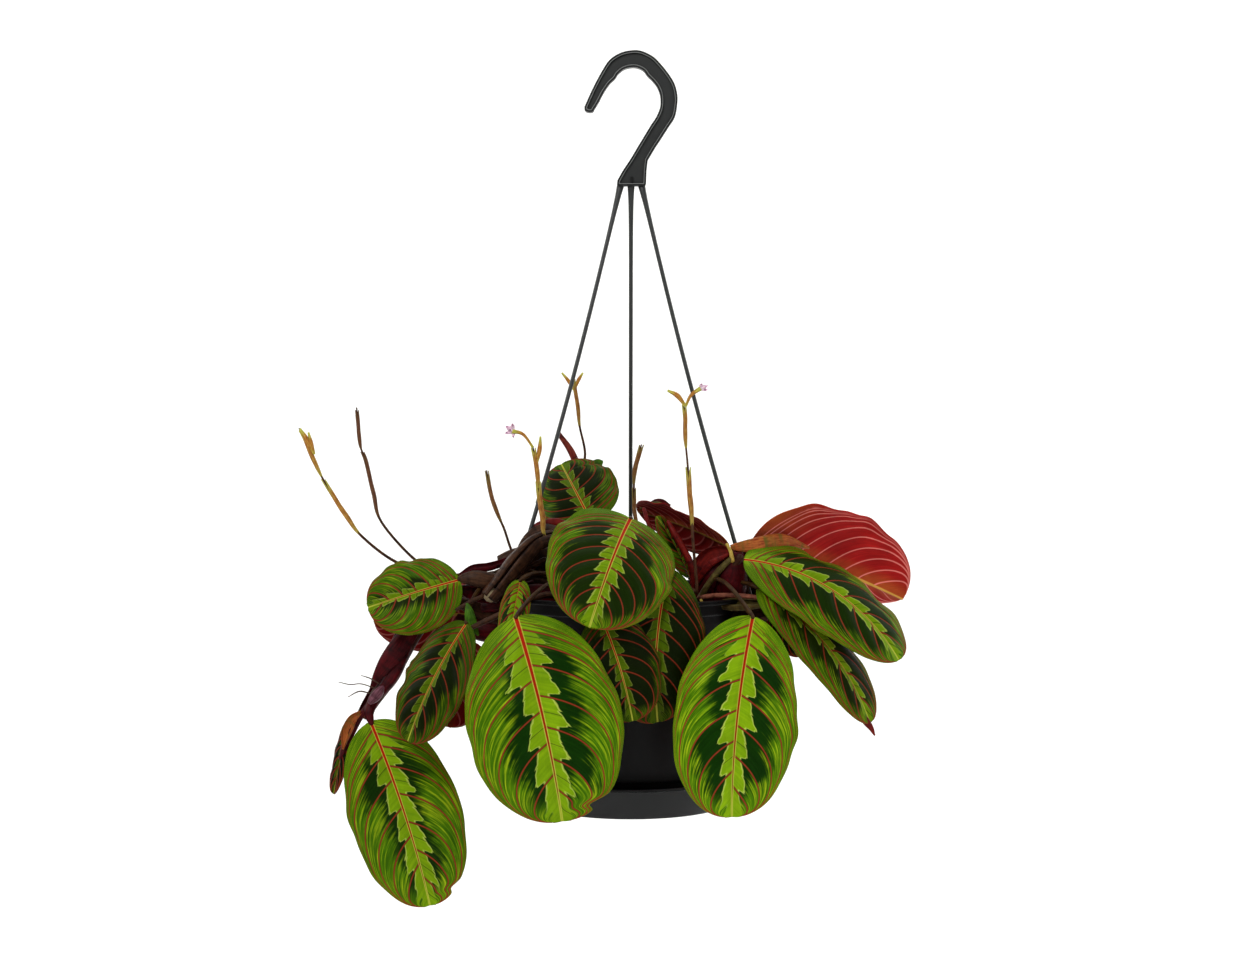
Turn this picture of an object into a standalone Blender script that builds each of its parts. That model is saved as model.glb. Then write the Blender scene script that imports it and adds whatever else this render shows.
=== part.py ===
"""Prayer plant in a hanging pot: a tapered plastic pot with a clip-on saucer, a moulded hook with three
strands, the compost, and the plant itself as separate leaf blades, leaf stalks, shoots and flower stalks.

Frame: +Z up, metres. The origin is the inside of the hook's crown, where a rail carries the weight, and
the pot's axis hangs straight below it. -Y is the plant's front. Tables are in millimetres and degrees.
"""

import math
from collections import namedtuple

import bmesh
import bpy
import numpy as np
from mathutils import Vector

MM = 0.001
GAP = 0.4  # between neighbouring solids

# The pot, as radii and heights below the hook's crown
RIM_Z = -286.0
RIM_RADIUS = 77.5
RIM_THICKNESS = 1.6
WALL = 1.3
SHOULDER_RADIUS = 71.3  # outside of the wall just under the rim
FOOT_RADIUS = 52.0
POT_HEIGHT = 108.0
FOOT_Z = RIM_Z - POT_HEIGHT
DRAIN_HOLES = 4
DRAIN_RADIUS = 4.0
DRAIN_CIRCLE = 18.0

SAUCER_RADIUS = 61.0
SAUCER_FOOT_RADIUS = 55.0
SAUCER_Z = -403.0
SAUCER_HEIGHT = 17.0
SAUCER_WALL = 1.5
CLIP_RING_RADIUS = 33.0  # the raised ring that the pot's base sits on
COMPOST_DROP = 11.0  # from the rim down to the compost

ROUND_SIDES = 48

# The hanger: strands leave the hook's base side by side and end in a button under the rim
STRAND_RADIUS = 1.15
STRAND_ROOT_RADIUS = 2.0
STRAND_SAG = 2.5
STRAND_CIRCLE = 74.3
STRAND_HOLE_RADIUS = 1.7
BUTTON_RADIUS = 2.4
BUTTON_HEIGHT = 1.6
STRAND_STEPS = 12
Strand = namedtuple("Strand", "name azimuth start_x")
STRANDS = [
    Strand("strand_left", 210, -6.0),
    Strand("strand_right", 330, 6.3),
    Strand("strand_back", 90, 0.2),
]

HOOK_THICKNESS = 6.0
HOOK_RIM = 1.3  # the raised border on both faces
HOOK_RECESS = 1.7
HOOK_STEPS = 30
# the hook's centre line from its tip over the crown to its base: x, z, half width
HOOK_LINE = [
    (-22.7, -21.0, 2.6),
    (-16.1, -10.0, 3.3),
    (-9.0, 0.6, 4.3),
    (1.3, 4.7, 4.7),
    (11.5, 0.0, 4.7),
    (19.8, -11.7, 4.4),
    (19.5, -25.6, 4.5),
    (9.6, -41.3, 4.4),
    (3.4, -51.5, 4.4),
    (0.3, -57.5, 6.3),
    (0.2, -64.0, 8.4),
]

# A blade runs from base to tip with its upper side towards facing. bend arches it along its length, sway
# curves its midrib sideways, crown curves each half down from the midrib and fold lifts the two halves.
# belly below 1 puts its widest place nearer the base.
Leaf = namedtuple("Leaf", "name base tip facing width belly bend sway crown fold")
LEAVES = [
    Leaf("front_left", (-59, -94, -291), (-35, -102, -395), (0, -1, 0.25), 80, 1.1, 36, -10, 20, 3),
    Leaf("front_right", (63, -83, -292), (52, -90, -395), (0.1, -1, 0.2), 66, 1.1, 32, 16, 28, 3),
    Leaf("crown_front", (0, -50, -243), (-21, -106, -295), (0.22, -0.76, 0.62), 69, 0.84, 44, 8, 26, 3),
    Leaf("crown_back", (-21, -12, -248), (-39, 26, -217), (-0.25, -0.7, 0.6), 48, 0.95, 26, 0, 26, 0),
    Leaf("centre_low", (-16, -88, -290), (1, -91, -345), (0.2, -1, 0.2), 44, 1.1, 20, -10, 24, 4),
    Leaf("centre_dark", (20, -66, -268), (14, -75, -348), (0.16, -1, 0.25), 52, 1.1, 60, 30, 18, 4),
    Leaf("left_small", (-91, -46, -276), (-139, -54, -290), (-0.1, -0.85, 0.5), 46, 1, 24, -8, 28, 2),
    Leaf("left_under", (-86, -12, -298), (-140, -16, -300), (0.1, 0.8, 0.55), 46, 1, 16, 0, 24, 0),
    Leaf("left_mid", (-86, -64, -297), (-117, -68, -359), (-0.55, -0.8, 0.3), 43, 1.1, 26, 0, 26, 4),
    Leaf("left_inner", (-87, -30, -310), (-98, -44, -355), (0.2, 0.9, 0.2), 38, 1.1, 16, 0, 24, 0),
    Leaf("left_upper", (-58, -61, -275), (-64, -80, -311), (0, -0.8, 0.6), 16, 0.9, 24, 0, 26, 2),
    Leaf("trailing", (-138, -52, -351), (-107, -50, -450), (0, -1, 0.2), 60, 1.05, 26, -12, 24, 4),
    Leaf("trailing_young", (-150, -46, -352), (-159, -44, -391), (-0.6, -0.7, 0.2), 12, 1, 10, 0, 60, 20),
    Leaf("right_upper", (60, -48, -265), (141, -62, -317), (0.12, -0.55, 0.82), 55, 1, 44, -34, 32, 2),
    Leaf("right_lower", (67, -58, -279), (126, -62, -350), (0.35, -0.62, 0.6), 37, 0.95, 34, -24, 28, 4),
    Leaf("right_under", (64, -30, -258), (152, 16, -292), (0.1, 0.75, 0.65), 76, 0.84, 26, -10, 22, 24),
    Leaf("middle_under", (53, -44, -259), (4, 4, -242), (-0.25, 0.82, 0.56), 36, 0.88, 14, 0, 22, 0),
    Leaf("right_young", (73, -40, -294), (91, -42, -317), (0.3, -0.7, 0.3), 16, 1, 10, 0, 50, 10),
    Leaf("crown_side", (32, -30, -276), (14, -34, -243), (0.7, -0.5, 0.5), 20, 1, 14, 0, 40, 10),
    Leaf("back_left", (-48, 70, -291), (-59, 88, -391), (-0.3, 1, 0.15), 66, 1.05, 32, 8, 26, 3),
    Leaf("back_right", (36, 76, -291), (50, 92, -386), (0.3, 1, 0.15), 62, 1.05, 32, -8, 26, 3),
    Leaf("back_middle", (-22, 40, -258), (-32, 104, -319), (-0.1, 0.7, 0.75), 48, 0.95, 56, 0, 28, 3),
    Leaf("back_far_right", (69, 34, -272), (120, 66, -314), (0.4, 0.75, 0.6), 48, 1, 34, 10, 28, 3),
    Leaf("back_far_left", (-81, 30, -286), (-121, 56, -315), (-0.4, 0.75, 0.6), 46, 1, 34, -10, 28, 3),
]
BLADE_THICKNESS = 0.9
BLADE_ROWS = 10
BLADE_COLUMNS = 4
BLADE_FULLNESS = 0.46  # below 0.5 rounds the blade's shoulders
BASE_HALF_WIDTH = 1.5
TIP_HALF_WIDTH = 0.8
MIDRIB_STEPS = 60

# A leaf stalk rises from the compost at root, by rise, and comes to its blade's base from approach
Petiole = namedtuple("Petiole", "root rise approach")
PETIOLES = {
    "front_left": Petiole((-24, -34), 34, (12, 26, 18)),
    "front_right": Petiole((39, -35), 34, (-12, 26, 18)),
    "crown_front": Petiole((-2, -20), 42, (0, 16, 0)),
    "crown_back": Petiole((-12, 6), 30, (8, -6, -14)),
    "centre_low": Petiole((-6, -46), 28, (4, 20, 26)),
    "centre_dark": Petiole((13, -38), 22, (2, 10, 10)),
    "left_small": Petiole((-36, -2), 30, (26, 26, 4)),
    "left_under": Petiole((-42, 0), 26, (14, 4, 34)),
    "left_mid": Petiole((-36, -24), 34, (1, 40, 34)),
    "left_inner": Petiole((-48, -14), 26, (8, 4, 48)),
    "left_upper": Petiole((-30, -22), 22, (8, 14, 8)),
    "right_lower": Petiole((44, -20), 20, (-10, 18, 4)),
    "back_left": Petiole((-16, 30), 32, (6, -22, 30)),
    "back_right": Petiole((18, 32), 32, (-6, -22, 30)),
    "back_middle": Petiole((-4, 28), 26, (4, -10, -4)),
    "back_far_right": Petiole((36, 22), 22, (-14, -6, 6)),
    "back_far_left": Petiole((-36, 22), 22, (14, -6, 6)),
}
PETIOLE_RADIUS = 1.35
PETIOLE_STEPS = 12
ROOT_CLEARANCE = 1.2  # a stalk's foot above the compost

# Shoots: x, y, z, radius. Their first point's z is filled in from the compost.
SHOOTS = {
    "shoot_trailing": [
        (-40, -24, None, 2.0),
        (-56, -28, -280, 2.0),
        (-72, -32, -277, 2.2),
        (-100, -36, -289, 2.6),
        (-115, -36, -304, 4.4),
        (-125, -38, -319, 5.6),
        (-131, -42, -331, 4.6),
        (-137, -46, -341, 3.2),
        (-142, -48, -348, 1.6),
    ],
    "shoot_left": [
        (-20, -14, None, 2.2),
        (-27, -18, -275, 2.4),
        (-42, -28, -257, 2.8),
        (-50, -35, -255, 3.2),
        (-59, -43, -264, 3.6),
        (-68, -46, -275, 3.8),
        (-76, -48, -284, 3.4),
    ],
    "shoot_right": [
        (30, -10, None, 2.2),
        (39, -24, -283, 2.3),
        (49, -40, -276, 2.6),
        (56, -46, -266, 2.6),
    ],
}
# Flower stalks swell where a pair of bracts wraps them, and so does the one leaf that is still rolled
FLOWER_STALKS = {
    "flower_far_left": [
        (-44, 10, None, 1.1),
        (-62, 0, -271, 1.1),
        (-103, -22, -277, 1.0),
        (-127, -26, -268, 1.0),
        (-145, -28, -254, 1.2),
        (-153, -29, -243, 1.9),
        (-160, -29, -232, 1.2),
        (-166, -30, -222, 0.8),
        (-171, -30, -211, 1.7),
        (-175, -30, -201, 1.3),
        (-178, -30, -196, 0.7),
    ],
    "flower_left": [
        (-46, 20, None, 1.1),
        (-62, 8, -272, 1.1),
        (-100, -12, -278, 1.0),
        (-117, -16, -268, 1.0),
        (-135, -20, -247, 1.2),
        (-139, -22, -231, 1.8),
        (-143, -22, -214, 1.1),
        (-146, -22, -206, 0.8),
        (-147, -22, -195, 1.5),
        (-148, -22, -185, 0.6),
    ],
    "flower_inner_left": [
        (-28, -8, None, 1.1),
        (-43, -9, -273, 1.1),
        (-61, -14, -269, 1.0),
        (-69, -18, -250, 1.0),
        (-73, -20, -240, 1.9),
        (-76, -20, -230, 1.3),
        (-78, -20, -219, 0.6),
    ],
    "flower_open_left": [
        (-14, -26, None, 1.1),
        (-30, -32, -268, 1.1),
        (-45, -40, -255, 1.0),
        (-47, -40, -242, 1.9),
        (-49, -41, -229, 1.1),
        (-50, -41, -216, 1.8),
        (-52, -41, -206, 0.7),
    ],
    "flower_back": [
        (8, 18, None, 1.1),
        (2, 30, -262, 1.1),
        (-24, 44, -230, 1.0),
        (-26, 46, -210, 0.9),
        (-29, 46, -196, 1.0),
        (-30, 46, -184, 1.7),
        (-32, 46, -173, 1.3),
        (-33, 46, -167, 0.6),
    ],
    "flower_middle": [
        (10, 4, None, 1.2),
        (8, 8, -268, 1.2),
        (3, 12, -248, 1.1),
        (2, 14, -237, 1.2),
        (2, 14, -223, 2.0),
        (4, 14, -214, 1.6),
        (6, 14, -206, 0.6),
    ],
    "flower_open_right": [
        (25, -38, None, 1.1),
        (32, -46, -282, 1.1),
        (35, -50, -281, 1.0),
        (33, -52, -257, 0.9),
        (32, -50, -239, 1.0),
        (31, -48, -226, 1.8),
        (30, -46, -213, 0.9),
        (29, -45, -202, 1.5),
        (29, -45, -191, 1.0),
        (28, -45, -182, 0.8),
    ],
    "rolled_leaf": [
        (-20, 14, None, 1.2),
        (-24, 26, -262, 1.2),
        (-23, 38, -232, 1.4),
        (-29, 40, -221, 2.2),
        (-34, 40, -210, 1.9),
        (-41, 40, -200, 0.6),
    ],
}
STALK_STEPS = 3  # between two points of a shoot or a flower stalk

# Colours are linear: (red, green, blue), roughness, metallic
FINISHES = {
    "black_plastic": ((0.018, 0.018, 0.018), 0.5, 0.0),
    "saucer_plastic": ((0.042, 0.044, 0.046), 0.45, 0.0),
    "hanger_plastic": ((0.085, 0.09, 0.085), 0.4, 0.0),
    "compost": ((0.02, 0.013, 0.009), 0.95, 0.0),
    "leaf_green": ((0.09, 0.22, 0.02), 0.45, 0.0),
    "stalk_brown": ((0.07, 0.045, 0.02), 0.55, 0.0),
    "bract_tan": ((0.35, 0.2, 0.08), 0.6, 0.0),
}


def clear_scene():
    for obj in list(bpy.data.objects):
        bpy.data.objects.remove(obj, do_unlink=True)


def give_finish(obj, finish):
    """Gives the object a material of its own."""
    colour, roughness, metallic = FINISHES[finish]
    material = bpy.data.materials.new(f"{obj.name}_{finish}")
    material.use_nodes = True
    shader = material.node_tree.nodes["Principled BSDF"]
    shader.inputs["Base Color"].default_value = (*colour, 1)
    shader.inputs["Roughness"].default_value = roughness
    shader.inputs["Metallic"].default_value = metallic
    obj.data.materials.append(material)


def add_mesh_object(name, bm, finish, smooth=True):
    """Turns the bmesh into an object. Its lengths are millimetres until here."""
    bmesh.ops.recalc_face_normals(bm, faces=bm.faces)
    bmesh.ops.scale(bm, vec=(MM, MM, MM), verts=bm.verts)
    for face in bm.faces:
        face.smooth = smooth
    mesh = bpy.data.meshes.new(name)
    bm.to_mesh(mesh)
    bm.free()
    obj = bpy.data.objects.new(name, mesh)
    bpy.context.scene.collection.objects.link(obj)
    if finish:
        give_finish(obj, finish)
    return obj


def turned(name, profile, finish):
    """A solid turned round the pot's axis. The profile is (radius, z) from axis to axis."""
    bm = bmesh.new()
    points = [bm.verts.new((radius, 0, z)) for radius, z in profile]
    edges = [bm.edges.new(pair) for pair in zip(points, points[1:])]
    bmesh.ops.spin(
        bm,
        geom=points + edges,
        cent=(0, 0, 0),
        axis=(0, 0, 1),
        angle=math.tau,
        steps=ROUND_SIDES,
        use_merge=True,
    )
    bmesh.ops.remove_doubles(bm, verts=bm.verts, dist=0.01)
    return add_mesh_object(name, bm, finish, smooth=False)


def add_drill(name, holes):
    """One cutter of upright cylinders, each (x, y, radius, lowest z, highest z)."""
    bm = bmesh.new()
    for x, y, radius, low, high in holes:
        made = bmesh.ops.create_cone(
            bm,
            cap_ends=True,
            segments=16,
            radius1=radius,
            radius2=radius,
            depth=high - low,
        )
        bmesh.ops.translate(bm, verts=made["verts"], vec=(x, y, (low + high) / 2))
    drill = add_mesh_object(name, bm, None)
    drill.hide_render = True
    drill.display_type = "WIRE"
    return drill


def on_circle(radius, azimuth):
    angle = math.radians(azimuth)
    return radius * math.cos(angle), radius * math.sin(angle)


def pot_wall_radius(z):
    """The outside of the tapered wall at height z."""
    rise = (z - FOOT_Z) / (RIM_Z - FOOT_Z)
    return FOOT_RADIUS + (SHOULDER_RADIUS - FOOT_RADIUS) * rise


def add_pot():
    """A thin tapered wall with a flat rim, drilled for the strands, and a floor with drain holes."""
    under_rim = RIM_Z - RIM_THICKNESS
    floor = FOOT_Z + WALL
    profile = [
        (0, FOOT_Z),
        (FOOT_RADIUS - 1.5, FOOT_Z),
        (FOOT_RADIUS, FOOT_Z + 1.5),
        (pot_wall_radius(under_rim), under_rim),
        (RIM_RADIUS, under_rim),
        (RIM_RADIUS, RIM_Z),
        (SHOULDER_RADIUS - WALL, RIM_Z),
        (pot_wall_radius(floor) - WALL, floor),
        (0, floor),
    ]
    pot = turned("pot", profile, "black_plastic")
    holes = [
        (*on_circle(STRAND_CIRCLE, strand.azimuth), STRAND_HOLE_RADIUS, under_rim - 1, RIM_Z + 1)
        for strand in STRANDS
    ]
    holes += [
        (*on_circle(DRAIN_CIRCLE, 360 * turn / DRAIN_HOLES), DRAIN_RADIUS, FOOT_Z - 1, floor + 1)
        for turn in range(DRAIN_HOLES)
    ]
    drilling = pot.modifiers.new("drilling", "BOOLEAN")
    drilling.operation = "DIFFERENCE"
    drilling.solver = "EXACT"
    drilling.object = add_drill("pot_drill", holes)


def add_saucer():
    """A shallow flared dish, with a ring on its floor that the pot's base clips over."""
    floor = SAUCER_Z + SAUCER_WALL
    top = SAUCER_Z + SAUCER_HEIGHT
    ring_top = FOOT_Z - GAP
    turned(
        "saucer",
        [
            (0, SAUCER_Z),
            (SAUCER_FOOT_RADIUS, SAUCER_Z),
            (SAUCER_FOOT_RADIUS + 1.2, SAUCER_Z + 1.2),
            (SAUCER_RADIUS, top),
            (SAUCER_RADIUS - SAUCER_WALL, top),
            (SAUCER_FOOT_RADIUS - 0.6, floor),
            (CLIP_RING_RADIUS, floor),
            (CLIP_RING_RADIUS, ring_top),
            (CLIP_RING_RADIUS - SAUCER_WALL, ring_top),
            (CLIP_RING_RADIUS - SAUCER_WALL, floor),
            (0, floor),
        ],
        "saucer_plastic",
    )


def add_compost():
    top = RIM_Z - COMPOST_DROP
    bottom = FOOT_Z + WALL + GAP
    turned(
        "compost",
        [
            (0, bottom),
            (pot_wall_radius(bottom) - WALL - 2 * GAP, bottom),
            (pot_wall_radius(top) - WALL - 2 * GAP, top),
            (0, top),
        ],
        "compost",
    )


def smooth_line(points, count):
    """count + 1 values on a Catmull-Rom curve through the points."""
    points = np.array(points, float)
    ends = np.vstack([2 * points[0] - points[1], points, 2 * points[-1] - points[-2]])
    line = []
    for step in range(count + 1):
        along = step / count * (len(points) - 1)
        first = min(int(along), len(points) - 2)
        u = along - first
        a, b, c, d = ends[first : first + 4]
        line.append(
            0.5 * (2 * b + (c - a) * u + (2 * a - 5 * b + 4 * c - d) * u**2 + (3 * b - a - 3 * c + d) * u**3)
        )
    return np.array(line)


def hook_section(half_width):
    """The H-shaped section as (across, depth) pairs: a raised border round a recessed web."""
    deep = HOOK_THICKNESS / 2
    web = deep - HOOK_RECESS
    inner = half_width - HOOK_RIM
    face = [(half_width, deep), (inner, deep), (inner, web), (-inner, web), (-inner, deep), (-half_width, deep)]
    return face + [(across, -depth) for across, depth in reversed(face)]


def add_hook():
    """Lofts the section along the hook's centre line by extruding its end face from station to station."""
    line = smooth_line(HOOK_LINE, HOOK_STEPS)
    travel = np.gradient(line[:, :2], axis=0)
    travel /= np.linalg.norm(travel, axis=1)[:, None]
    travel[-1] = (0, -1)  # the base is level
    bm = bmesh.new()
    face = None
    for station, ((x, z, half_width), (tx, tz)) in enumerate(zip(line, travel)):
        ring = [
            Vector((x - tz * across, depth, z + tx * across)) for across, depth in hook_section(half_width)
        ]
        if station == 0:
            face = bm.faces.new([bm.verts.new(point) for point in ring])
            continue
        made = bmesh.ops.extrude_face_region(bm, geom=[face])
        if station > 1:
            bmesh.ops.delete(bm, geom=[face], context="FACES_ONLY")
        face = next(item for item in made["geom"] if isinstance(item, bmesh.types.BMFace))
        for vert, point in zip(face.verts, ring):
            vert.co = point
    add_mesh_object("hook", bm, "hanger_plastic", smooth=False)


def add_tube(name, points, radii, finish, smooth=False, steps=1, sides=6, handles=None):
    """A round rod through the points, in millimetres, with flat ends."""
    curve = bpy.data.curves.new(name, "CURVE")
    curve.dimensions = "3D"
    curve.bevel_depth = MM
    curve.bevel_resolution = sides // 2 - 2
    curve.use_fill_caps = True
    curve.resolution_u = steps
    if smooth or handles:
        spline = curve.splines.new("BEZIER")
        spline.bezier_points.add(len(points) - 1)
        for knot, point, radius in zip(spline.bezier_points, points, radii):
            knot.co = Vector(point) * MM
            knot.radius = radius
            knot.handle_left_type = knot.handle_right_type = "AUTO"
    else:
        spline = curve.splines.new("POLY")
        spline.points.add(len(points) - 1)
        for knot, point, radius in zip(spline.points, points, radii):
            knot.co = (*(Vector(point) * MM), 1)
            knot.radius = radius
    if handles:
        first, last = spline.bezier_points
        first.handle_left_type = first.handle_right_type = "FREE"
        last.handle_left_type = last.handle_right_type = "FREE"
        first.handle_right = Vector(handles[0]) * MM
        first.handle_left = first.co * 2 - first.handle_right
        last.handle_left = Vector(handles[1]) * MM
        last.handle_right = last.co * 2 - last.handle_left
    obj = bpy.data.objects.new(name, curve)
    bpy.context.scene.collection.objects.link(obj)
    give_finish(obj, finish)


def add_strand(strand):
    """A thin rod that leaves the hook straight down, bows out to the rim and ends in a button under it."""
    end_x, end_y = on_circle(STRAND_CIRCLE, strand.azimuth)
    top = HOOK_LINE[-1][1] - 2 * GAP
    bottom = RIM_Z + 3
    outward = Vector((end_x - strand.start_x, end_y)).normalized()
    points = []
    radii = []
    for step in range(STRAND_STEPS + 1):
        down = step / STRAND_STEPS
        sag = STRAND_SAG * math.sin(math.pi * down)
        points.append(
            (
                strand.start_x + (end_x - strand.start_x) * down - outward.x * sag,
                end_y * down - outward.y * sag,
                top + (bottom - top) * down,
            )
        )
        radii.append(STRAND_ROOT_RADIUS if step == 0 else STRAND_RADIUS)
    seat = RIM_Z - RIM_THICKNESS - GAP
    for z, radius in (
        (seat, STRAND_RADIUS),
        (seat - 0.05, BUTTON_RADIUS),
        (seat - BUTTON_HEIGHT, BUTTON_RADIUS * 0.8),
    ):
        points.append((end_x, end_y, z))
        radii.append(radius)
    add_tube(strand.name, points, radii, "hanger_plastic", sides=8)


def blade_axes(leaf):
    """Unit vectors along the blade, out of its upper side, and across it."""
    along = np.subtract(leaf.tip, leaf.base) / np.linalg.norm(np.subtract(leaf.tip, leaf.base))
    up = leaf.facing - along * np.dot(along, leaf.facing)
    up /= np.linalg.norm(up)
    return np.stack([along, up, np.cross(along, up)])


def midrib(leaf):
    """Equal steps along the midrib: fraction, points, the blade's up and its side there."""
    fraction = np.linspace(0, 1, MIDRIB_STEPS + 1)
    arch = np.radians(leaf.bend) * (0.5 - fraction)
    turn = np.radians(leaf.sway) * (0.5 - fraction)
    zero = np.zeros_like(fraction)
    axes = blade_axes(leaf)
    along = np.stack([np.cos(arch) * np.cos(turn), np.sin(arch), np.cos(arch) * np.sin(turn)], 1) @ axes
    side = np.stack([-np.sin(turn), zero, np.cos(turn)], 1) @ axes
    steps = np.vstack([np.zeros(3), np.cumsum((along[1:] + along[:-1]) / 2, 0)])
    steps *= np.linalg.norm(np.subtract(leaf.tip, leaf.base)) / np.linalg.norm(steps[-1])
    return fraction, leaf.base + steps, np.cross(side, along), side


def blade_point(leaf, fraction, across):
    """Points of the blade in millimetres: fraction runs base to tip, across runs -1 to 1."""
    at, points, up, side = midrib(leaf)
    point, up, side = (
        np.stack([np.interp(fraction, at, values[:, axis]) for axis in range(3)], -1)
        for values in (points, up, side)
    )
    place = fraction**leaf.belly
    half_width = leaf.width / 2 * np.clip(4 * place * (1 - place), 0, 1) ** BLADE_FULLNESS
    edge = BASE_HALF_WIDTH + (TIP_HALF_WIDTH - BASE_HALF_WIDTH) * fraction
    reach = np.abs(across) * np.maximum(half_width, edge)
    curvature = math.radians(leaf.crown) / (leaf.width / 2)
    out = np.sin(curvature * reach) / curvature
    drop = (1 - np.cos(curvature * reach)) / curvature
    fold = math.radians(leaf.fold)
    sideways = np.sign(across) * (out * math.cos(fold) + drop * math.sin(fold))
    lift = out * math.sin(fold) - drop * math.cos(fold)
    return point + side * sideways[:, None] + up * lift[:, None]


def add_blade(leaf):
    """A thin curved blade: a grid laid on the blade's surface, closed by its thickness."""
    bm = bmesh.new()
    bmesh.ops.create_grid(bm, x_segments=BLADE_ROWS, y_segments=BLADE_COLUMNS, size=1)
    flat = np.array([vert.co[:2] for vert in bm.verts])
    fraction = (1 - np.cos(math.pi * (flat[:, 0] + 1) / 2)) / 2
    for vert, point in zip(bm.verts, blade_point(leaf, fraction, flat[:, 1])):
        vert.co = point
    obj = add_mesh_object(f"leaf_{leaf.name}", bm, "leaf_green")
    shell = obj.modifiers.new("thickness", "SOLIDIFY")
    shell.thickness = BLADE_THICKNESS * MM
    shell.offset = 0


def add_petiole(leaf):
    """The stalk from the compost to the blade's base."""
    stalk = PETIOLES[leaf.name]
    foot = Vector((*stalk.root, RIM_Z - COMPOST_DROP + ROOT_CLEARANCE))
    base = Vector(leaf.base)
    approach = Vector(stalk.approach)
    along = Vector(blade_axes(leaf)[0])
    end = base + approach.normalized() * 1.2 - along * 0.4
    add_tube(
        f"petiole_{leaf.name}",
        [foot, end],
        [PETIOLE_RADIUS + 0.15, PETIOLE_RADIUS - 0.1],
        "stalk_brown",
        steps=PETIOLE_STEPS,
        handles=[foot + Vector((0, 0, stalk.rise)), base + approach],
    )


def add_run(name, run, finish):
    """A shoot or a flower stalk, rooted in the compost."""
    foot_z = RIM_Z - COMPOST_DROP + ROOT_CLEARANCE + run[0][3] - 1
    points = [(x, y, foot_z if z is None else z) for x, y, z, _ in run]
    radii = [radius for *_, radius in run]
    add_tube(name, points, radii, finish, smooth=True, steps=STALK_STEPS)


def main():
    clear_scene()
    add_pot()
    add_saucer()
    add_compost()
    add_hook()
    for strand in STRANDS:
        add_strand(strand)
    for leaf in LEAVES:
        add_blade(leaf)
        if leaf.name in PETIOLES:
            add_petiole(leaf)
    for name, run in SHOOTS.items():
        add_run(name, run, "stalk_brown")
    for name, run in FLOWER_STALKS.items():
        add_run(name, run, "bract_tan")


if __name__ == "__main__":
    main()
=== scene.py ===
"""Looks of the potted prayer plant: leaves, stalks, flowers, compost, pot, saucer and hanger, built round
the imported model. Tables are in millimetres and degrees in the model's own frame: origin at the inside of
the hook's crown, +Z up, -Y the plant's front.
"""

import math
import random
from collections import namedtuple

import bmesh
import bpy
import numpy as np
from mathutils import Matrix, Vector


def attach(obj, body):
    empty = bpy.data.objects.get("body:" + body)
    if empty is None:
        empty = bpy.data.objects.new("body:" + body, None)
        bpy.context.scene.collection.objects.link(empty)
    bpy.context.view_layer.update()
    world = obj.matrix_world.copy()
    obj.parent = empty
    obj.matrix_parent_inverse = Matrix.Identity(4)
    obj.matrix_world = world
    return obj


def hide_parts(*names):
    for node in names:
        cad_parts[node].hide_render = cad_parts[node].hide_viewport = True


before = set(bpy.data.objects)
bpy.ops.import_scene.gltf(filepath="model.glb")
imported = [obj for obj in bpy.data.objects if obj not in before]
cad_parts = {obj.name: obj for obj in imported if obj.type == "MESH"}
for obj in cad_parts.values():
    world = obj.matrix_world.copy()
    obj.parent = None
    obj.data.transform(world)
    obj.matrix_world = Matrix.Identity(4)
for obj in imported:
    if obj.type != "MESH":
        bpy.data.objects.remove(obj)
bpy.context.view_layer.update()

MM = 0.001

# ---------------------------------------------------------------- helpers


def linear(hex_colour):
    """An sRGB hex colour as linear RGBA."""
    levels = [int(hex_colour[place : place + 2], 16) / 255 for place in (1, 3, 5)]
    return (*(v / 12.92 if v <= 0.04045 else ((v + 0.055) / 1.055) ** 2.4 for v in levels), 1.0)


def node(tree, kind, links=None, ramp=None, **settings):
    """Adds a shader node. links gives each input a value, another node or one of its outputs."""
    made = tree.nodes.new("ShaderNode" + kind)
    for name, value in settings.items():
        setattr(made, name, value)
    if ramp:
        stops = made.color_ramp.elements
        while len(stops) < len(ramp):
            stops.new(0.5)
        for stop, (place, colour) in zip(stops, ramp):
            stop.position = place
            stop.color = linear(colour) if isinstance(colour, str) else (colour, colour, colour, 1)
    for socket, value in (links or {}).items():
        if isinstance(value, bpy.types.Node):
            value = next(output for output in value.outputs if output.enabled)
        if isinstance(value, bpy.types.NodeSocket):
            tree.links.new(value, made.inputs[socket])
        else:
            made.inputs[socket].default_value = value
    return made


def new_material(name, roughness, ior=1.5, specular=0.5):
    """A material with its Principled shader's own settings, and that shader."""
    material = bpy.data.materials.new(name)
    material.use_nodes = True
    shader = material.node_tree.nodes["Principled BSDF"]
    shader.inputs["Roughness"].default_value = roughness
    shader.inputs["IOR"].default_value = ior
    shader.inputs["Specular IOR Level"].default_value = specular
    return material, material.node_tree, shader


def dress(tree, shader, colour, height, strength, depth):
    """Gives a shader its colour, and a relief whose full height is depth, in millimetres."""
    tree.links.new(colour, shader.inputs["Base Color"])
    relief = node(tree, "Bump", {"Strength": strength, "Distance": depth * MM, "Height": height})
    tree.links.new(relief.outputs[0], shader.inputs["Normal"])


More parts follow.
